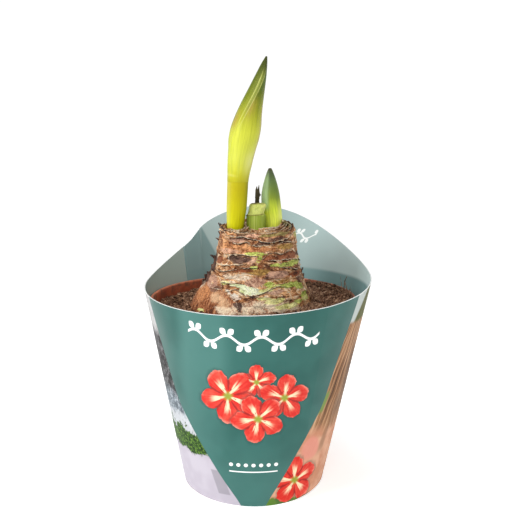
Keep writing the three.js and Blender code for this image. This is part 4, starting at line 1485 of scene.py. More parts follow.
    def loose_sheet(self, azimuth: Array, z: Array, top: Curve, seed: float) -> tuple[Array, Array]:
        """A smooth sheet of tunic at the lower left, with a torn upper edge.

        Args:
            azimuth, z: of the points.
            top: height of its edge against azimuth in degrees.
            seed: which noise tears it.

        Returns:
            1 on the sheet, and 1 along its edge.
        """
        ragged = 0.4 * self.frayed(azimuth, seed) + 0.6 * round_noise(azimuth, 30, seed + 1)
        ragged = ragged + skin_noise(azimuth, z, (0.4, 40, 3, seed + 3))
        below = top.at(signed(azimuth) / DEGREE) + ragged - z
        edge = between(below, 0, 0.3, 0.4, 1.3) * (0.6 + 0.6 * round_noise(azimuth, 24, seed + 2))
        return rise(below, 0, 0.4), edge

    def neck_rim(self, azimuth: Array) -> Array:
        """Height of the neck's ragged rim, lower in front."""
        rim = self.neck_lip + 0.6 * np.sin(azimuth) - self.neck_tilt * np.cos(azimuth)
        return rim + 1.0 * round_noise(azimuth, 40, 90) + 0.5 * self.frayed(azimuth, 95)

    def bare_skin(self, azimuth: Array, z: Array) -> Marks:
        """Relief and marks of the skin above the compost: tunics, scabs, wrinkles, two sheets and a knob.

        Args:
            azimuth, z: of the points.

        Returns:
            "out", how far the skin stands out, and the marks "fringe", "under", "tone", "level" and "leaf".
        """
        tunics = self.tunic_relief(azimuth, z)
        large, small = self.scabs(azimuth, z, 17, 4.6, 31.0), self.scabs(azimuth, z, 38, 2.2, 37.0)
        leaf, leaf_edge = self.loose_sheet(azimuth, z, self.leaf_top, 77)
        fibrous, fibrous_edge = self.loose_sheet(azimuth, z, self.fibrous_top, 87)
        bare = 1 - np.maximum(leaf, fibrous)
        out = tunics["out"] + 0.28 * large["out"] + 0.16 * small["out"] + self.wrinkle(azimuth, z)
        pleats = skin_noise(azimuth, z, (0.42, 52, 17, 19), (0.22, 110, 8, 20))
        out = out * (0.2 + 0.8 * bare) + (1.0 + pleats) * leaf + (0.5 + 0.7 * pleats) * fibrous * (1 - leaf)
        middle, height, wide, tall, bulge = self.knob
        past = azimuth - TURN - middle * DEGREE
        away = (past * self.radius(z) / wide) ** 2 + ((z - height) / tall) ** 2
        crescent = bell((np.sqrt(away) - 1.35) / 0.16) * rise(past, 0.07, 0.11)
        fringe = np.maximum.reduce([tunics["fringe"], 0.5 * large["fringe"], 0.3 * small["fringe"]]) * bare
        sheet_edges = 1.3 * leaf_edge, 1.5 * fibrous_edge * (1 - leaf), 0.9 * crescent
        return {
            "out": out + bulge * np.exp(-away),
            "fringe": np.maximum.reduce([fringe, *sheet_edges]),
            # Painted shadow under the torn edges and round the scabs.
            "under": np.maximum.reduce([tunics["under"], 0.4 * large["under"], 0.25 * small["under"]]) * bare,
            "tone": tunics["tone"],
            "level": tunics["level"],
            "leaf": np.maximum(leaf, 0.6 * fibrous),
        }

    def body(self) -> Patch:
        """The skin as one closed surface, from the buried base over the bare part into the neck's mouth.

        Returns:
            The surface, with its painted patches as marks.
        """
        azimuth = around(self.sides)
        rim, mouth = self.neck_rim(azimuth), self.mouth_floor + 0 * azimuth
        bare = self.bare_from + (rim - self.bare_from) * np.linspace(0, 1, self.levels)[:, None]
        buried = np.array(self.buried)[:, None] + 0 * azimuth
        neck = np.concatenate([rim - 0.1, rim - 1.0, rim - 2.0, mouth + 1, mouth + 0.6, mouth + 0.3])
        inset = np.array([0.6, 1.1, 2.0, self.neck_wall, 12.0, 22.0])[:, None] + 0 * azimuth
        marks = self.bare_skin(azimuth, bare)
        out = np.concatenate([0 * buried, marks.pop("out"), -inset])
        # The neck's inner rows are painted wholly in shade.
        for key, value in marks.items():
            marks[key] = np.concatenate([0 * buried, value, np.full(neck.shape, float(key == "under"))])
        z = np.concatenate([buried, bare, neck])
        radius = self.radius(z)
        across = skin_noise(azimuth, z, (1.6, 20, 5, 51), (1.2, 60, 2.2, 52))
        upwards = skin_noise(azimuth, z, (0.7, 22, 5, 53), (0.5, 80, 1.5, 54))
        random = np.random.default_rng(self.patch_seed)
        for work in PATCHWORKS:
            marks[work.name] = work.weight(azimuth + across / radius, z + upwards, radius, random)
        return Patch(polar(azimuth, radius + out, z, self.axis.at(z)), caps=(True, True), marks=marks)

    def sheets(self, rows: Array, turned: Array, random: np.random.Generator) -> tuple[Array, Array]:
        """Thin torn pieces of tunic, all at once.

        A ring is the outer face from left to right and the inner face back. A piece narrows towards its tip,
        which is torn into a slanting point, and stands out by its flare times a power of the share of its
        length. Where its rise is negative it hangs down, and its rings run from the tip up.

        Args:
            rows: (pieces, 6): azimuth, height, width, rise, flare and thickness of each.
            turned: how far each piece's point leans to the side, from -1 to 1.
            random: the source of the crumpling.

        Returns:
            The points, (pieces, rings, columns, 3), and how near the torn tip each is.
        """
        azimuth, foot, width, length, flare, thick = rows.T[:, :, None, None]
        step = np.linspace(0, 1, 6)[None, :, None]
        up = np.where(length < 0, 1 - step, step)
        across = np.concatenate([np.linspace(-1, 1, 5), np.linspace(1, -1, 5)])[None, None, :]
        inner = np.repeat([0.0, 1.0], 5)[None, None, :]
        narrow = 1 - 0.75 * up**1.6
        lean = turned[:, None, None] * up
        crumple = random.uniform(-0.3, 0.3, (len(rows), 6, 5))
        crumple = np.concatenate([crumple, crumple[:, :, ::-1]], axis=2) * (up > 0)
        z = foot + length * (up - 0.12 * across**2 * up)
        radius = self.radius(z) + 0.2 - 1.0 * (up == 0) + flare * up**1.7
        radius = radius + crumple * (0.4 + 0.5 * up) - inner * thick
        turn = azimuth + 0.5 * width * (narrow * across + lean) / self.radius(z)
        return polar(turn, radius, z, self.axis.at(z)), np.broadcast_to(rise(up, 0.55, 0.95), z.shape)

    def flakes(self) -> Patch:
        """Torn flakes all round along the tunic edges, and the large curled ones at the left, painted dark as
        shade.

        Returns:
            The flakes as one patch of many shapes.
        """
        random, count = np.random.default_rng(self.flake_seed), self.flake_count
        azimuth = random.uniform(0, TURN, count)
        number = random.integers(1, len(self.torn_edges), count)
        foot = self.edges(azimuth)[number, np.arange(count)] + random.uniform(-1.2, 0.8, count)
        length = random.uniform(1.6, 3.2, count) * np.where(random.random(count) < 0.6, -1, 1)
        foot = foot + 0.6 * (length < 0)
        width, flare = random.uniform(3.0, 8.0, count), random.uniform(0.3, 1.3, count)
        shaped = np.array([*self.curled_flakes, *self.hanging_flakes]) * (DEGREE, 1, 1, 1, 1, 1)
        thick = np.full(count, 0.3)
        rows = np.concatenate([np.column_stack([azimuth, foot, width, length, flare, thick]), shaped])
        total = len(rows)
        points, tip = self.sheets(rows, random.uniform(-1, 1, total), random)
        tone = random.uniform(0.1, 1.0, total)[:, None, None] + 0 * tip
        dark = random.random(total) < 0.12
        # The curled flakes at the left are painted dark as shade; the other dark ones are a random few.
        dark[count:] = np.arange(len(shaped)) < len(self.curled_flakes)
        dark = dark[:, None, None] + 0 * tip
        marks = {"fringe": tip * 0.9 * (1 - dark), "tone": tone, "scar": dark * 0.9, "level": tone * 9}
        return Patch(points, caps=(True, True), marks=marks)

    def collar(
        self, x: float, y: float, wide: float, deep: float, top: float, dip: float, lift: float, seed: float
    ) -> Patch:
        """One papery layer round the foot of the shoots.

        A thin oval wall whose ragged top is at top - dip cos(azimuth) + lift sin^2(azimuth) on the right.

        Args:
            x: middle, to the right.
            y: middle, to the back.
            wide: half width at the top.
            deep: half depth at the top.
            top: height of its top at the left.
            dip: how much lower it is in front.
            lift: how much higher it is at the right.
            seed: which noise it takes.

        Returns:
            The layer's patch.
        """
        azimuth = around(self.collar_sides)
        rim = top - dip * np.cos(azimuth) + lift * np.maximum(np.sin(azimuth), 0) ** 2
        rim = rim + 0.7 * round_noise(azimuth, 18, seed) + 0.4 * self.frayed(azimuth, seed)
        depth = np.array([7, 3, 1.6, 0.9, 0.45, 0, 0, 0.45, 0.9, 1.6, 3, 7])[:, None]
        inner = np.repeat([0.0, 1.0], 6)[:, None]
        z = rim - depth
        crumple = skin_noise(azimuth, z, (0.45, 13, 4, seed), (0.3, 44, 1.6, seed + 2))
        outset = crumple - 0.2 * depth - inner * 0.4
        sunny = rise(np.sin(azimuth - 0.5), 0.55, 0.85) * (x > 0)
        marks = {
            "fringe": rise(depth, 0.8, 0.1) * (0.75 + 0.6 * round_noise(azimuth, 14, seed + 9)),
            # Painted shade, darker deeper down between the layers.
            "under": rise(depth, 1.2, 2.6) + 0 * z,
            "tone": 0.5 + skin_noise(azimuth, z, (0.5, 8, 4, seed)),
            "level": seed + skin_noise(azimuth, z, (1, 20, 2, seed)),
            "olive": sunny + 0 * z,
        }
        return Patch(polar(azimuth, wide + outset, z, x, y, deep + outset), loop=True, marks=marks)

    def layers(self) -> list[Patch]:
        """Six layers round the right shoots, two round the left one, and one round them all.

        Returns:
            The layers' patches.
        """
        return [
            self.collar(*(value + step * number for value, step in zip(first, steps)))
            for first, steps, count in self.collars
            for number in range(count)
        ]

    def build(self) -> None:
        """Makes the skin, the flakes and the neck's layers and hands them over."""
        finish = PaperyTunic().material()
        skin, flakes, layers = [self.body()], [self.flakes()], self.layers()
        for name, patches in {"bulb_tunics": skin, "torn_flakes": flakes, "neck_layers": layers}.items():
            hand_over(mesh_of(name, patches, [finish]), "bulb")


@dataclass
class Soil:
    """The compost: a crumbly top between bulb and pot with loose crumbs and dry fibres, plain underneath.

    Attributes:
        crumb_sizes: width, height and seed of each size of crumb in the top.
        wall_levels: heights of the rings up the pot's wall.
        standing: how many fibres stand up at the right.
    """

    pot: Pot
    bulb: Bulb
    middle: float = 133.5
    slope: float = 0.045
    lumps: float = 1.3
    heap: float = 2.0
    crumb_sizes: tuple = ((3.6, 1.8, 1.0), (1.9, 1.1, 2.0))
    gap: float = 0.3
    wall_levels: tuple = (60, 100, 126.7)
    socket_top: float = 129.0
    crumb_count: int = 1500
    crumb_seed: int = 3
    fibre_count: int = 150
    fibre_seed: int = 8
    standing: int = 8
    sides: int = 320
    rows: int = 56

    def level(self, x: Array, y: Array) -> Array:
        """Height of the top: a slope, soft lumps, and crumbs as the caps of random cells of two sizes.

        Args:
            x, y: the place to the right and to the back.

        Returns:
            The height there.
        """
        lumps = noise(x / 6, y / 6, 3.3) + 0.5 * noise(x / 2.5, y / 2.5, 8.1)
        total = self.middle + self.slope * x + self.lumps * lumps
        total = total + self.heap * rise(x, 15, 60) * rise(y, -30, 0)
        for size, height, seed in self.crumb_sizes:
            away, tone = cells(x, y, size, seed)
            total = total + height * (tone - 0.35) * np.clip(1 - (away / 0.62) ** 2, 0, 1)
        return total

    def wall(self, z: Array) -> Array:
        """Rings just inside the pot's wall."""
        return polar(around(self.sides), self.pot.inner_radius(z) - self.gap, z)

    def socket(self, z: Array, room: float) -> Array:
        """Rings round the bulb, with that much room."""
        return polar(around(self.sides), self.bulb.radius(z) + room, z, self.bulb.axis.at(z))

    def bed(self) -> Patch:
        """The closed body: bottom, wall, top inwards, and the socket that the bulb sits in.

        Returns:
            The body's patch.
        """
        bottom = self.pot.floor_top + self.gap
        middle = np.array([[self.middle]])
        near, far = self.socket(middle, 0.05), self.wall(middle)
        share = np.linspace(1, 0, self.rows)[:, None, None]
        top = near + (far - near) * share
        top[..., 2] = self.level(top[..., 0], top[..., 1]) + 0.9 * (1 - share[..., 0]) ** 8
        first, *buried = self.bulb.buried
        walls = self.wall(np.array([bottom, *self.wall_levels])[:, None])
        socket = self.socket(np.array([self.socket_top, *buried[::-1], first - self.gap])[:, None], self.gap)
        foot = polar(around(self.sides), 1.0, bottom)
        return Patch(np.concatenate([foot, walls, top, socket]), caps=(True, True))

    def scattered(self, count: int, random: np.random.Generator) -> tuple[Array, Array]:
        """Random places on the top between the bulb and the pot.

        Args:
            count: how many.
            random: their source.

        Returns:
            Their x and y.
        """
        azimuth = random.uniform(0, TURN, count)
        low = self.bulb.radius(np.array(self.middle)) + 0.5
        high = self.pot.inner_radius(np.array(self.middle)) - 1.5
        radius = np.sqrt(random.uniform(low**2, high**2, count))
        return radius * np.sin(azimuth), -radius * np.cos(azimuth)

    def crumbs(self) -> Patch:
        """Loose crumbs: small spheres of a few rings, each squashed, turned and dented by random amounts.

        Returns:
            The crumbs as one patch of many shapes.
        """
        random, count = np.random.default_rng(self.crumb_seed), self.crumb_count
        x, y = self.scattered(count, random)
        size = random.uniform(0.5, 1.7, count) * random.uniform(0.7, 1.2, count)
        tilt = np.linspace(-70, 70, 4)[None, :, None] * DEGREE
        turn = around(6) + random.uniform(0, TURN, count)[:, None, None]
        reach = size[:, None, None] * random.uniform(0.7, 1.25, (count, 4, 6))
        spots = polar(turn, reach * np.cos(tilt), reach * np.sin(tilt) * 0.75)
        centre = np.stack([x, y, self.level(x, y) + 0.25 * size], axis=-1)
        dry = (random.random(count) < 0.12) * random.uniform(0.3, 0.9, count)
        marks = {"dry": dry[:, None, None] + 0 * reach}
        return Patch(spots + centre[:, None, None, :], caps=(True, True), marks=marks)

    def fibres(self) -> Patch:
        """Dry fibres: thin bent strands that lie on the top, and a few that stand up at the right.

        A strand's line is start + length (s direction + bend s^2 side + lift (s - 0.45 s^2) up), with a
        three-sided ring that thins to half towards its end.

        Returns:
            The fibres as one patch of many shapes.
        """
        random, count = np.random.default_rng(self.fibre_seed), self.fibre_count
        x, y = self.scattered(count, random)
        length = random.uniform(3, 11, count)
        heading = random.uniform(0, TURN, count)
        lift = random.uniform(0.05, 0.35, count)
        stand = self.standing
        x[:stand], y[:stand] = random.uniform(63, 70, stand), random.uniform(-14, 10, stand)
        lift[:stand], length[:stand] = random.uniform(1.4, 3.4, stand), random.uniform(5, 10, stand)
        bend = random.uniform(-0.5, 0.5, count)[:, None, None]
        thick = random.uniform(0.14, 0.38, count)
        thick[:stand] += 0.16
        start = np.stack([x, y, self.level(x, y) - 0.2], axis=-1)[:, None, :]
        ahead, side = (
            np.stack([np.cos(angle), np.sin(angle), 0 * angle], axis=-1)[:, None, :]
            for angle in (heading, heading + math.pi / 2)
        )
        up = np.array([0, 0, 1.0])
        s = np.linspace(0, 1, 7)[None, :, None]
        path = ahead * s + side * bend * s**2 + up * lift[:, None, None] * (s - 0.45 * s**2)
        line = start + length[:, None, None] * path
        turn = around(3)[:, None, :, None]
        ring = np.cos(turn) * side[:, None] + np.sin(turn) * up
        points = line[:, :, None, :] + (thick[:, None, None] * (1 - 0.5 * s))[..., None] * ring
        limit = self.pot.rim_radius - 3.2
        points[..., :2] *= np.minimum(1, limit / np.hypot(points[..., 0], points[..., 1]))[..., None]
        dry = np.where(np.arange(count) < stand, 0.25, 0.9)[:, None, None] * np.ones(points.shape[:3])
        return Patch(points[:, :, ::-1], caps=(True, True), marks={"dry": dry})

    def build(self) -> None:
        """Makes the compost and hands it over."""
        patches = [self.bed(), self.crumbs(), self.fibres()]
        hand_over(mesh_of("compost_bed", patches, [Compost().material()]), "soil")


def grain_mark(azimuth: Array, climb: Array) -> Array:
    """The vector that runs round and along a shoot: the azimuth's sine and cosine, and the height share."""
    return np.stack(np.broadcast_arrays(np.sin(azimuth), np.cos(azimuth), climb), axis=-1)


@dataclass
class Shoot:
    """A shoot of oval rings along a bent axis, shaped by azimuth between -pi and pi.

    Attributes:
        spine: centre x and y, half width and half depth against height.
        tip: how far a blunt point stands above the last ring.
    """

    name: str
    node: str
    slot: str
    skin: ShootSkin
    spine: Curve
    tip: float = 0.0
    sides: int = 96
    levels: int = 110
    sharp: float = 60.0

    def relief(self, azimuth: Array, climb: Array, z: Array) -> Array:
        """How far the surface stands out from the plain oval: faint ribs along it."""
        return 0.07 * round_noise(azimuth, 34, 2) * rise(climb, 1, 0.85)

    def marks(self, azimuth: Array, climb: Array, z: Array) -> Marks:
        """Shares of tint, shade, haze, glow and dry colour over the surface."""
        return {}

    def patches(self) -> list[Patch]:
        """The shoot's surface, with rings closer together at the tip, which is drawn to a blunt point.

        Returns:
            One patch.
        """
        low, high = self.spine.rows[0][0], self.spine.rows[-1][0]
        climb = np.linspace(0, 1, self.levels)[:, None] ** 0.9
        z = low + (high - low) * climb
        azimuth = np.mod(around(self.sides) + math.pi, TURN) - math.pi
        x, y, wide, deep = (self.spine.at(z, column) for column in (1, 2, 3, 4))
        out = self.relief(azimuth, climb, z)
        points = polar(azimuth, wide + out, z, x, y, deep + out)
        if self.tip:
            last = 0.45 * wide[-1:], z[-1:] + 0.8 * self.tip, x[-1:], y[-1:], 0.45 * deep[-1:]
            points = np.concatenate([points, polar(azimuth, *last)])
            climb, z = (np.append(value, value[-1:], 0) for value in (climb, z))
        marks = self.marks(azimuth, climb, z)
        marks = {key: np.clip(value, 0, 1) + 0 * (azimuth + climb) for key, value in marks.items()}
        return [Patch(points, caps=(True, True), marks={"grain": grain_mark(azimuth, climb), **marks})]

    def build(self) -> None:
        """Makes the shoot and hands it over."""
        piece = mesh_of(self.name, self.patches(), [self.skin.material()], self.sharp)
        hand_over(piece, self.node)


class Stalk(Shoot):
    """The round flower stalk."""

    def marks(self, azimuth: Array, climb: Array, z: Array) -> Marks:
        """Painted shade on the right, and a painted highlight streak on the left."""
        return {"shade": 0.34 * rise(azimuth, 0.6, 1.3), "glow": 0.16 * bell((azimuth + 0.95) / 0.3)}


@dataclass
class Spathe(Shoot):
    """The closed bud: one bract wraps round the other, and its edge winds from the foot's left to the tip."""

    edge_foot: float = -86.0
    edge_turn: float = 112.0
    overlap: float = 162 * DEGREE

    def edge_gap(self, azimuth: Array, climb: Array) -> Array:
        """Azimuth past the outer bract's edge, which turns evenly with the height."""
        return signed(azimuth - (self.edge_foot + self.edge_turn * climb) * DEGREE)

    def relief(self, azimuth: Array, climb: Array, z: Array) -> Array:
        """The outer bract stands proud past its edge, with a ridge along it and ribs that fade at the ends.

        Args:
            azimuth, climb, z: of the points; climb is the share of the height.

        Returns:
            How far the surface stands out.
        """
        past = self.edge_gap(azimuth, climb)
        bract = between(past, 0, 0.04, self.overlap - 0.04, self.overlap)
        ridge = 0.3 * bell((past * self.spine.at(z, 3) - 0.9) / 0.9)
        ribs = 0.12 * round_noise(azimuth, 26, 4) + 0.06 * round_noise(azimuth, 60, 6)
        return between(climb, 0, 0.15, 0.8, 1) * (0.35 * bract + ridge + ribs)

    def marks(self, azimuth: Array, climb: Array, z: Array) -> Marks:
        """A pale band along the bract's edge between two lines, dark green beside it, tan and pale flushes.

        Args:
            azimuth, climb, z: of the points; climb is the share of the height.

        Returns:
            The shares of "tint", "shade", "haze" and "glow".
        """
        away = self.edge_gap(azimuth, climb) * self.spine.at(z, 3)
        streak = 0.5 + 0.5 * round_noise(azimuth, 70, 9)
        spots = ((0.6, 0.09, 0.1, 0.34), (0.5, 0.07, -1.0, 0.4), (0.16, 0.09, 0.85, 0.4))
        front, left, right = (
            bell((climb - up) / tall) * bell((azimuth - turn) / wide) for up, tall, turn, wide in spots
        )
        shown = between(climb, 0.4, 0.52, 0.81, 0.93)
        lines = bell(away / 0.32) + 0.8 * bell((away - 2.4) / 0.3)
        band = between(away, -0.2, 0.1, 2.3, 2.6)
        beside = between(away, 2.5, 3.1, 4.0, 7.5) * rise(climb, 0.62, 0.78)
        rim = between(azimuth, 1.08, 1.33, 1.6, 1.9) * between(climb, 0.06, 0.12, 0.58, 0.68)
        # Painted shade along the left edge, on the left flank and at the upper right.
        edge = rise(azimuth, -1.15, -1.35) * rise(climb, 0.42, 0.52)
        foot = bell((climb - 0.05 + 0.012 * azimuth) / 0.009) * rise(azimuth, 0.2, -0.8)
        painted_side_shade = 0.2 * rise(azimuth, -0.7, -1.2) + 0.3 * rise(azimuth, 0.9, 1.3) * rise(climb, 0.7, 0.8)
        haze = 0.6 * band + 0.4 * streak * between(away, -5, -2, -0.5, 0)
        return {
            "tint": 0.65 * (front * (0.4 + 0.6 * streak) + left) + 0.6 * rim,
            "shade": 0.9 * beside + 0.5 * edge + painted_side_shade,
            "haze": haze * shown * rise(climb, 0.5, 0.65),
            "glow": 0.7 * right + 0.45 * lines * shown * (0.6 + 0.8 * streak) + 0.3 * foot,
        }


class SecondBud(Shoot):
    """The young bud: two bracts that meet along a line up its front left."""

    def relief(self, azimuth: Array, climb: Array, z: Array) -> Array:
        """A step along the line where the bracts meet, and ribs."""
        step = 0.35 * between(signed(azimuth + 0.55 - 0.5 * climb), 0, 0.06, 2.5, 2.8)
        return rise(climb, 1, 0.7) * (step + 0.13 * round_noise(azimuth, 30, 8))

    def marks(self, azimuth: Array, climb: Array, z: Array) -> Marks:
        """Pale blue-green on the left, dark stripes at the upper right, bright below them, and a dry tip.

        Args:
            azimuth, climb: of the points; climb is the share of the height.
            z: not used.

        Returns:
            The shares of "glow", "haze", "shade" and "dry".
        """
        stripes = 0.15 + 0.75 * (0.5 + 0.5 * round_noise(azimuth, 48, 12))
        return {
            "glow": 0.6 * bell((azimuth - 1.0) / 0.3) * rise(climb, 0.6, 0.3),
            "haze": 0.85 * rise(azimuth, -0.05, -0.55) * between(climb, 0.35, 0.5, 0.82, 1.02),
            "shade": 0.7 * rise(azimuth, -0.1, 0.2) * rise(climb, 0.5, 0.7) * stripes,
            "dry": 0.3 * rise(climb, 0.95, 1.0),
        }


@dataclass
class Stump(Shoot):
    """Last year's stalk, cut off: a loose pale flap stands in a torn outer skin that ends in a brown ring."""

    ring: float = 198.4
    cut: float = 205.9

    def above_ring(self, azimuth: Array, z: Array) -> Array:
        """Height above the torn ring, which rises and falls twice in a turn."""
        return z - self.ring - 0.55 * np.sin(azimuth * 2 + 0.6) - 0.4 * round_noise(azimuth, 14, 3)

    def relief(self, azimuth: Array, climb: Array, z: Array) -> Array:
        """A ragged lip at the torn ring, soft folds in the loose skin above it, and ribs below.

        Args:
            azimuth, z: of the points.
            climb: the share of the height; not used.

        Returns:
            How far the surface stands out.
        """
        above = self.above_ring(azimuth, z)
        lip = 0.45 * bell((above + 0.25) / 0.4)
        folds = 0.35 * round_noise(azimuth, 9, 5) + 0.15 * noise(np.mod(azimuth, TURN) * 4, z / 1.2, 2)
        return lip + folds * rise(above, 0, 0.4) + 0.14 * round_noise(azimuth, 30, 6) * rise(above, 0, -0.4)

    def marks(self, azimuth: Array, climb: Array, z: Array) -> Marks:
        """Brown along the ring and at the cut's left, pale netted skin above the ring, streaks below.

        Args:
            azimuth, z: of the points.
            climb: the share of the height; not used.

        Returns:
            The shares of "dry", "glow" and "shade".
        """
        above = self.above_ring(azimuth, z)
        loose = rise(above, 0, 0.8)
        line = bell((above - 0.15) / (0.28 + 0.12 * round_noise(azimuth, 20, 4)))
        cut = rise(z - 0.5 * round_noise(azimuth, 16, 7), self.cut, self.cut + 0.5)
        cut = cut * (0.5 + 0.5 * rise(azimuth, 0.2, -0.3))
        net = bell(noise(azimuth * 6, z, 3) / 0.14) * loose
        fold = bell((azimuth - 0.95 - 0.03 * above) / 0.06) * loose
        streaks = (0.5 * round_noise(azimuth, 34, 9) + 0.7 * round_noise(azimuth, 110, 10)) * (above < 0)
        pale = 0.6 + 0.6 * rise(azimuth, 0.9, 1.1) + 0.5 * noise(azimuth * 2, z / 3, 7)
        return {
            "dry": 0.85 * line + 0.75 * cut,
            "glow": 0.5 * rise(above, 0, 0.6) * pale + 0.32 * rise(streaks, 0, 0.7),
            "shade": 0.5 * net + 0.5 * fold + 0.45 * rise(streaks, 0, -0.7),
        }


@dataclass
class WitheredLeaf(Shoot):
    """A shrivelled leaf tip, split a little way down from its end at a knot.

    Attributes:
        split: height where the prongs part.
        knot: height of the knot.
    """

    split: float = 214.0
    knot: float = 211.6

    def patches(self) -> list[Patch]:
        """A narrow, crumpled and twisted strip for each prong; they overlap up to the split.

        Returns:
            Two patches.
        """
        made = []
        low, high = self.spine.rows[0][0], self.spine.rows[-1][0]
        azimuth = around(self.sides)
        for side in (-1.0, 1.0):
            z = np.linspace(low, high + 0.8 * (side > 0), self.levels)[:, None]
            x, y, wide, deep = (self.spine.at(z, column) for column in (1, 2, 3, 4))
            apart = 0.14 * rise(z, self.split, self.split + 3)
            knot = bell((z - self.knot) / 0.9) * (side > 0)
            taper = 1 - 0.5 * rise(z, z[-1] - 2.5, z[-1])
            shift = side * wide * (0.42 + apart) + 0.5 * knot + 0.25 * noise(z / 3, side, 1)
            crumple = 0.16 * noise(azimuth * 1.9, z / 1.2, side * 4)
            half = (wide * (0.58 - apart) + 0.4 * knot) * taper + crumple
            thick = deep * (0.9 + 0.2 * noise(z / 2.2, side, 5)) * taper + crumple
            points = polar(azimuth, half, z, x + shift, y, thick)
            grain = grain_mark(azimuth, (z - low) / (z[-1] - low))
            made.append(Patch(points, caps=(True, True), marks={"grain": grain}))
        return made


STALK_SKIN = ShootSkin(
    "flower_stalk",
    ((0, (206, 206, 8)), (0.45, (196, 190, 8)), (0.85, (180, 168, 14)), (1, (184, 174, 22))),
    (166, 156, 8), 0.35, 0.36, shine=0.12,
)
BRACT_SKIN = ShootSkin(
    "bud_bract",
    ((0, (184, 176, 26)), (0.03, (188, 182, 28)), (0.11, (203, 204, 62)), (0.2, (204, 208, 76)),
     (0.4, (198, 202, 60)), (0.55, (158, 163, 30)), (0.68, (112, 121, 22)), (0.84, (80, 91, 18)),
     (1, (54, 60, 26))),
    (120, 130, 30), 0.28, 0.34, haze=(148, 158, 72), shine=0.18,
)
YOUNG_SKIN = ShootSkin(
    "young_bud",
    ((0.24, (242, 252, 92)), (0.4, (208, 222, 60)), (0.58, (134, 152, 42)), (0.82, (104, 128, 78)),
     (0.95, (74, 80, 74))),
    (104, 136, 44), 0.4, 0.4,
)
STUMP_SKIN = ShootSkin(
    "cut_stalk",
    ((0, (156, 174, 58)), (0.66, (152, 170, 60)), (0.72, (190, 202, 94)), (1, (200, 208, 106))),
    (104, 128, 44), 0.4, 0.5,
)
DEAD_SKIN = ShootSkin(
    "dead_leaf", ((0.0, (72, 66, 40)), (0.7, (58, 52, 34)), (1.0, (84, 78, 62))), (116, 106, 76), 0.5, 0.7
)


def shoots() -> list[Shoot]:
    """The scape, the bud in its spathe, the second bud, the old stump and the withered leaf.

    Returns:
        The five shoots.
    """
    return [
        Stalk("flower_stalk", "scape", "flower_stalk", STALK_SKIN, Curve((
            (180, -12.8, -5.6, 5.4, 6.2), (188, -12.6, -5.8, 5.7, 6.5), (194, -12.2, -6, 6.3, 7),
            (203, -11.5, -6, 7, 7.7), (214, -10.9, -6, 7.25, 7.9), (223.2, -10.45, -6, 7.4, 8),
        )), levels=60),
        Spathe("spathe_bracts", "spathe", "bud_bract", BRACT_SKIN, Curve((
            (222.3, -10.45, -6, 7.5, 8.3), (224.2, -10.35, -6, 7.6, 8.6), (227, -10, -6, 7.75, 8.9),
            (232, -9.5, -6, 8.15, 9.8), (238, -8.8, -6, 8.8, 11), (245, -7.6, -6, 9.6, 12),
            (252, -6.4, -6, 10.5, 12.6), (260, -4.9, -5.8, 10.4, 12.5), (268, -3.1, -5.4, 9.1, 11.2),
            (277, -0.5, -5, 7.4, 9), (286, 2.5, -4.5, 5.6, 6.8), (295.5, 5.6, -4, 3.7, 4.4),
            (303, 8, -3.6, 2.1, 2.5), (307.4, 9.4, -3.4, 0.75, 0.9),
        )), tip=0.7, levels=180, sides=144),
        SecondBud("young_bud", "second_bud", "young_bud", YOUNG_SKIN, Curve((
            (181, 14.7, 5.5, 6, 6), (192, 14.3, 5.5, 6.4, 6.3), (198, 13.6, 5.5, 6.7, 6.4),
            (204, 12.9, 5.5, 6.75, 6.4), (211, 12.4, 5.5, 6.4, 6), (217, 12.2, 5.4, 5.4, 5),
            (224, 12.2, 5.3, 3.6, 3.4), (228.4, 12.2, 5.2, 2.1, 2), (230.4, 12.2, 5.2, 1.2, 1.2),
        )), tip=0.5),
        Stump("stalk_stump", "old_stalk_stump", "cut_stalk", STUMP_SKIN, Curve((
            (181, 2.1, -3, 6.5, 5), (189, 2.2, -3, 6.8, 5.2), (197.2, 2.2, -3, 6.8, 5.2),
            (198.4, 2.3, -3, 6.5, 5), (199.4, 2.1, -3, 5.9, 4.4), (203, 2.9, -3, 5.9, 4.4),
            (205.6, 3.5, -3, 5.9, 4.3), (206.5, 3.6, -2.9, 5, 3.4),
        )), tip=0.15, levels=150),
        WitheredLeaf("leaf_remnant", "withered_leaf", "dead_leaf", DEAD_SKIN, Curve((
            (181, 2.8, 7, 2.6, 0.8), (193, 2.8, 6.8, 2.4, 0.8), (203, 2.9, 6.4, 1.9, 0.8),
            (208, 3, 6.2, 1.6, 0.8), (212, 3.2, 6, 1.6, 0.7), (215, 3.4, 6, 1.45, 0.6),
            (217.6, 3.6, 6, 1.3, 0.5),
        )), sides=24, levels=60),
    ]


@dataclass(frozen=True)
class Softbox:
    """A square area light that looks at the plant: place and aim in metres, size, power."""

    name: str
    place: tuple[float, float, float]
    size: float
    power: float
    aim: tuple[float, float, float] = (0.0, 0.0, 0.14)

    def build(self) -> None:
        """Makes the light."""
        lamp = bpy.data.lights.new(self.name, "AREA")
        lamp.size, lamp.energy = self.size, self.power
        light = bpy.data.objects.new(self.name, lamp)
        away = np.array(self.place) - np.array(self.aim)
        light.location = self.place
        light.rotation_euler = (math.acos(away[2] / np.linalg.norm(away)), 0, math.atan2(away[0], -away[1]))
        bpy.context.scene.collection.objects.link(light)


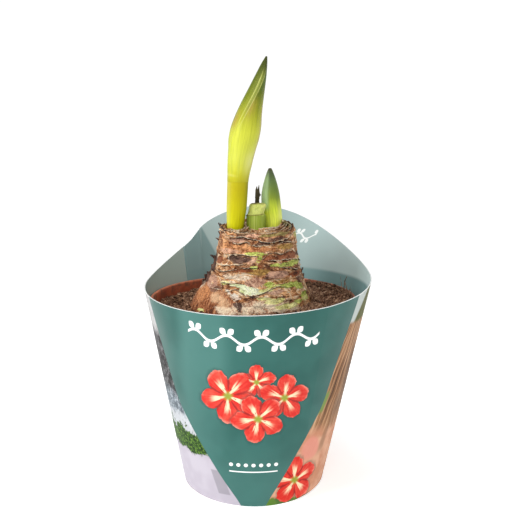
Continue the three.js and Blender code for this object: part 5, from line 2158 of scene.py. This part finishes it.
@dataclass(frozen=True)
class Studio:
    """Camera, floor and soft light."""

    camera_place: tuple[float, float, float] = (0.00645, -0.6, 0.276)
    pitch: float = 10.6 * DEGREE
    lens: float = 58.2
    sensor: float = 36.0
    near: float = 0.01
    far: float = 20.0
    floor_rings: tuple[float, ...] = (600, 300, 120)
    floor_level: float = -0.05
    horizon_light: float = 1.06
    zenith_light: float = 0.28
    softboxes: tuple[Softbox, ...] = (
        Softbox("key_light", (-0.95, -0.6, 0.65), 0.5, 7.8),
        Softbox("front_light", (0.1, -0.95, 0.95), 0.7, 4.2),
        Softbox("top_light", (-0.15, 0.05, 1.3), 0.6, 4.2),
    )

    def build_camera(self) -> None:
        """Makes the camera and sets it as the scene's."""
        lens = bpy.data.cameras.new("camera")
        lens.lens, lens.sensor_width = self.lens, self.sensor
        lens.clip_start, lens.clip_end = self.near, self.far
        camera = bpy.data.objects.new("camera", lens)
        camera.location = self.camera_place
        camera.rotation_euler = (math.pi / 2 - self.pitch, 0, 0)
        bpy.context.scene.collection.objects.link(camera)
        bpy.context.scene.camera = camera

    def surroundings(self) -> bpy.types.World:
        """Surroundings that are white near the horizon and dimmer overhead.

        Returns:
            The world.
        """
        world = bpy.data.worlds.new("studio")
        world.use_nodes = True
        nodes, links = world.node_tree.nodes, world.node_tree.links
        kinds = "TexCoord", "SeparateXYZ", "MapRange"
        direction, axes, fade = (nodes.new(f"ShaderNode{kind}") for kind in kinds)
        ends = {"From Min": 0.2, "From Max": 0.5, "To Min": self.horizon_light, "To Max": self.zenith_light}
        for key, value in ends.items():
            fade.inputs[key].default_value = value
        links.new(direction.outputs["Generated"], axes.inputs[0])
        links.new(axes.outputs["Z"], fade.inputs["Value"])
        links.new(fade.outputs["Result"], nodes["Background"].inputs["Strength"])
        nodes["Background"].inputs["Color"].default_value = (1, 1, 1, 1)
        return world

    def build_surroundings(self) -> None:
        """Makes the floor, the surroundings and the softboxes."""
        rings = polar(around(96), np.array(self.floor_rings)[:, None], self.floor_level)
        mesh_of("floor", [Patch(rings, caps=(False, True))], [StudioPaper().material()])
        bpy.context.scene.world = self.surroundings()
        for softbox in self.softboxes:
            softbox.build()
        bpy.context.scene.view_settings.view_transform = "Standard"


def main() -> None:
    """Builds the studio and every piece in order."""
    logging.basicConfig(level=logging.INFO, format="%(name)s: %(message)s")
    studio = Studio()
    studio.build_camera()
    pot, bulb = Pot(), Bulb()
    for piece in (pot, Sleeve(), Soil(pot, bulb), bulb, *shoots()):
        piece.build()
    studio.build_surroundings()


if __name__ == "__main__":
    main()
